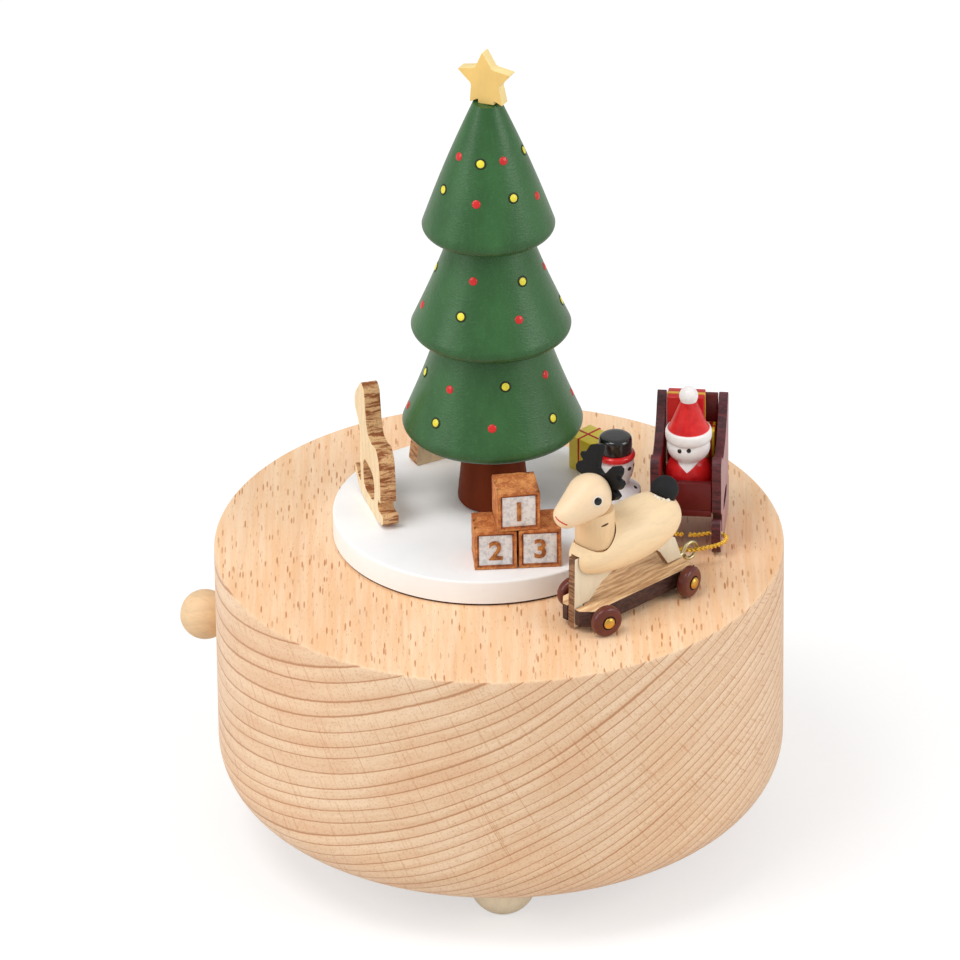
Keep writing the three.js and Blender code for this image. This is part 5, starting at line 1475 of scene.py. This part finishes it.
def santaPaint(place, cfg):
    s = Shader("santaPaint")
    vector = s.local(place)
    x, y, z = s.split(vector)
    fine = s.grain(vector, 2.2)
    cloud = s.grain(vector, 0.4, 2.0, 0.5)
    tall, sharp = cfg["height"], cfg["sharp"]
    body = s.step(z, cfg["neck"] * tall + sharp, cfg["neck"] * tall - sharp)
    beardEdge = z - abs(y) * cfg["beardSlope"] - cfg["beardTip"] * tall
    beard = s.step(beardEdge, -sharp, sharp) * s.step(x, 0.0, 0.2)
    hat = s.step(z, cfg["brimTop"] * tall - sharp, cfg["brimTop"] * tall + sharp)
    bobble = s.step(z, cfg["bobble"] * tall - sharp, cfg["bobble"] * tall + sharp)
    red = s.mix(s.step(cloud, 0.35, 0.7), (226, 44, 44), (200, 20, 28))
    white = s.mix(s.step(cloud, 0.35, 0.7), (247, 243, 241), (238, 232, 230))
    mask = s.sum("MAXIMUM", body * (1 - beard), hat * (1 - bobble))
    shade = s.mix(mask, white, red)
    return s.paint(shade, 0.3 + 0.12 * fine, fine * 0.4 + cloud, 0.04, coat=0.2, shine=0.25)


def addSanta(cfg):
    spot = turned(-cfg["back"], 0, cfg["floor"])
    place = sleighPlace @ spot
    profile = [(r * cfg["radius"], z * cfg["height"]) for r, z in cfg["shape"]]
    piece = fitted(lathed("santaFigure", profile, 72, 40), place, ("sleigh", "red_paint", "santa"),
                   santaPaint(place, cfg))
    drop = flatBead("santaDrop", *cfg["drop"])
    eyes = [beadOn(drop, f"eye{i}", *seenAt(piece, *pixel)) for i, pixel in enumerate(cfg["eyes"])]
    marks = joined("santaEyes", eyes)
    fitted(marks, None, ("sleigh", "black_paint"),
           enamel("santaBlack", (12, 12, 14), place, 0.2, 0.5, 0.0))
    bpy.data.objects.remove(drop)


addSanta(santa)

loads = {
    "red": {"colour": (204, 22, 24), "band": (226, 176, 60), "width": 0.9, "bandSlot": "yellow_paint"},
    "yellow": {"colour": (240, 214, 52), "band": (204, 30, 30), "width": 0.7, "bandSlot": "red_paint"},
}


def addLoads(cfg):
    back = sleighPlace.inverted()
    for name, load in cfg.items():
        corners = [back @ (corner.co / mm) for corner in frame["nodes"][f"gift_{name}"].data.vertices]
        low = Vector([min(corner[i] for corner in corners) for i in range(3)])
        high = Vector([max(corner[i] for corner in corners) for i in range(3)])
        middle = (low + high) / 2
        bands = ((0, middle.y, load["width"]), (1, middle.x, load["width"]))
        box, ribbon = wrapped(f"{name}Gift", low, high, {"edge": 0.22, "proud": 0.1, "bands": bands})
        wrap = enamel(f"{name}Wrap", load["colour"], sleighPlace, 0.3, 0.3, 0.1, 0.05, 0.84)
        fitted(box, sleighPlace, ("sleigh", f"{name}_paint", f"gift_{name}"), wrap)
        band = enamel(f"{name}Band", load["band"], sleighPlace, 0.35, 0.2, 0.0)
        fitted(ribbon, sleighPlace, ("sleigh", load["bandSlot"]), band)


addLoads(loads)
print("sleigh made")

# The works inside keep their CAD shapes
works = {
    "steel": (("bedplate", "mainspring", "spindle_shaft", "comb", "drive_magnet", "cover_screw_1",
               "cover_screw_2", "cover_screw_3"), (176, 178, 180), 0.32),
    "brass": (("spring_barrel", "winding_key", "music_cylinder", "bearing_frame", "comb_bridge"),
              (218, 176, 92), 0.3),
}


def addWorks(cfg):
    for name, (nodes, colour, rough) in cfg.items():
        paint = metal(name + "Works", colour, flat, rough)
        for node in nodes:
            coloured(frame["nodes"][node], paint)
    s = Shader("whitePlastic")
    grain = s.noise(s.local(), 3.0, scale=2.0)
    plastic = s.paint(s.mix(grain, (222, 220, 212), (206, 203, 194)), 0.42 + 0.1 * grain, grain, 0.02)
    for node in ("magnet_arm", "governor_fan"):
        coloured(frame["nodes"][node], plastic)


addWorks(works)

# A lamp's level is the share of its own colour that a surface turned to it shows
light = {
    "world": 0.55,
    "lamps": {"top": ((-0.7, -0.5, 1.9), 0.31, 0.8), "left": ((-1.5, -0.5, 0.95), 0.31, 0.9),
              "right": ((1.5, -0.5, 0.9), 0.34, 0.9)},      # place, level, size
    "aim": (0, 0, 0.07),
    "glow": 1.15, "glowShare": 0.5,             # what the floor adds where the camera sees it
}


def addLight(cfg):
    world = bpy.context.scene.world or bpy.data.worlds.new("studio")
    bpy.context.scene.world = world
    world.use_nodes = True
    nodes, links = world.node_tree.nodes, world.node_tree.links
    nodes.clear()
    path = nodes.new("ShaderNodeLightPath")
    strength = nodes.new("ShaderNodeMapRange")
    strength.inputs["To Min"].default_value = cfg["world"]
    strength.inputs["To Max"].default_value = 1.0
    links.new(path.outputs["Is Camera Ray"], strength.inputs["Value"])
    sky = nodes.new("ShaderNodeBackground")
    sky.inputs["Color"].default_value = (1, 1, 1, 1)
    links.new(strength.outputs["Result"], sky.inputs["Strength"])
    out = nodes.new("ShaderNodeOutputWorld")
    links.new(sky.outputs[0], out.inputs["Surface"])
    for name, (place, level, size) in cfg["lamps"].items():
        place = Vector(place)
        bpy.ops.object.light_add(type="AREA", location=place)
        lamp = bpy.context.object
        lamp.name = name + "Lamp"
        lamp.rotation_euler = (Vector(cfg["aim"]) - place).to_track_quat("-Z", "Y").to_euler()
        lamp.data.size = size
        lamp.data.energy = level * math.pi ** 2 * place.length_squared
    bpy.context.scene.view_settings.view_transform = "Standard"


def addFloor(cfg):
    bpy.ops.object.select_all(action="DESELECT")
    bpy.ops.mesh.primitive_plane_add(size=8)
    floor = newest("studioFloor")
    s = Shader("paleFloor")
    grain = s.noise(s.local(), scale=0.02)
    direct = s.node("LightPath", {}, {}, "Is Camera Ray")
    seen = s.mix(grain, (246, 246, 246), (249, 249, 249))
    diffuse = s.node("BsdfDiffuse", {}, {"Color": s.mix(direct, (226, 224, 221), seen)})
    glow = s.node("Emission", {}, {"Color": (1, 1, 1, 1), "Strength": cfg["glow"]})
    lit = s.node("MixShader", {}, {0: direct * cfg["glowShare"], 1: diffuse, 2: glow})
    s.node("OutputMaterial", {}, {"Surface": lit})
    coloured(floor, s.material)


addLight(light)
addFloor(light)
print("light and floor set")
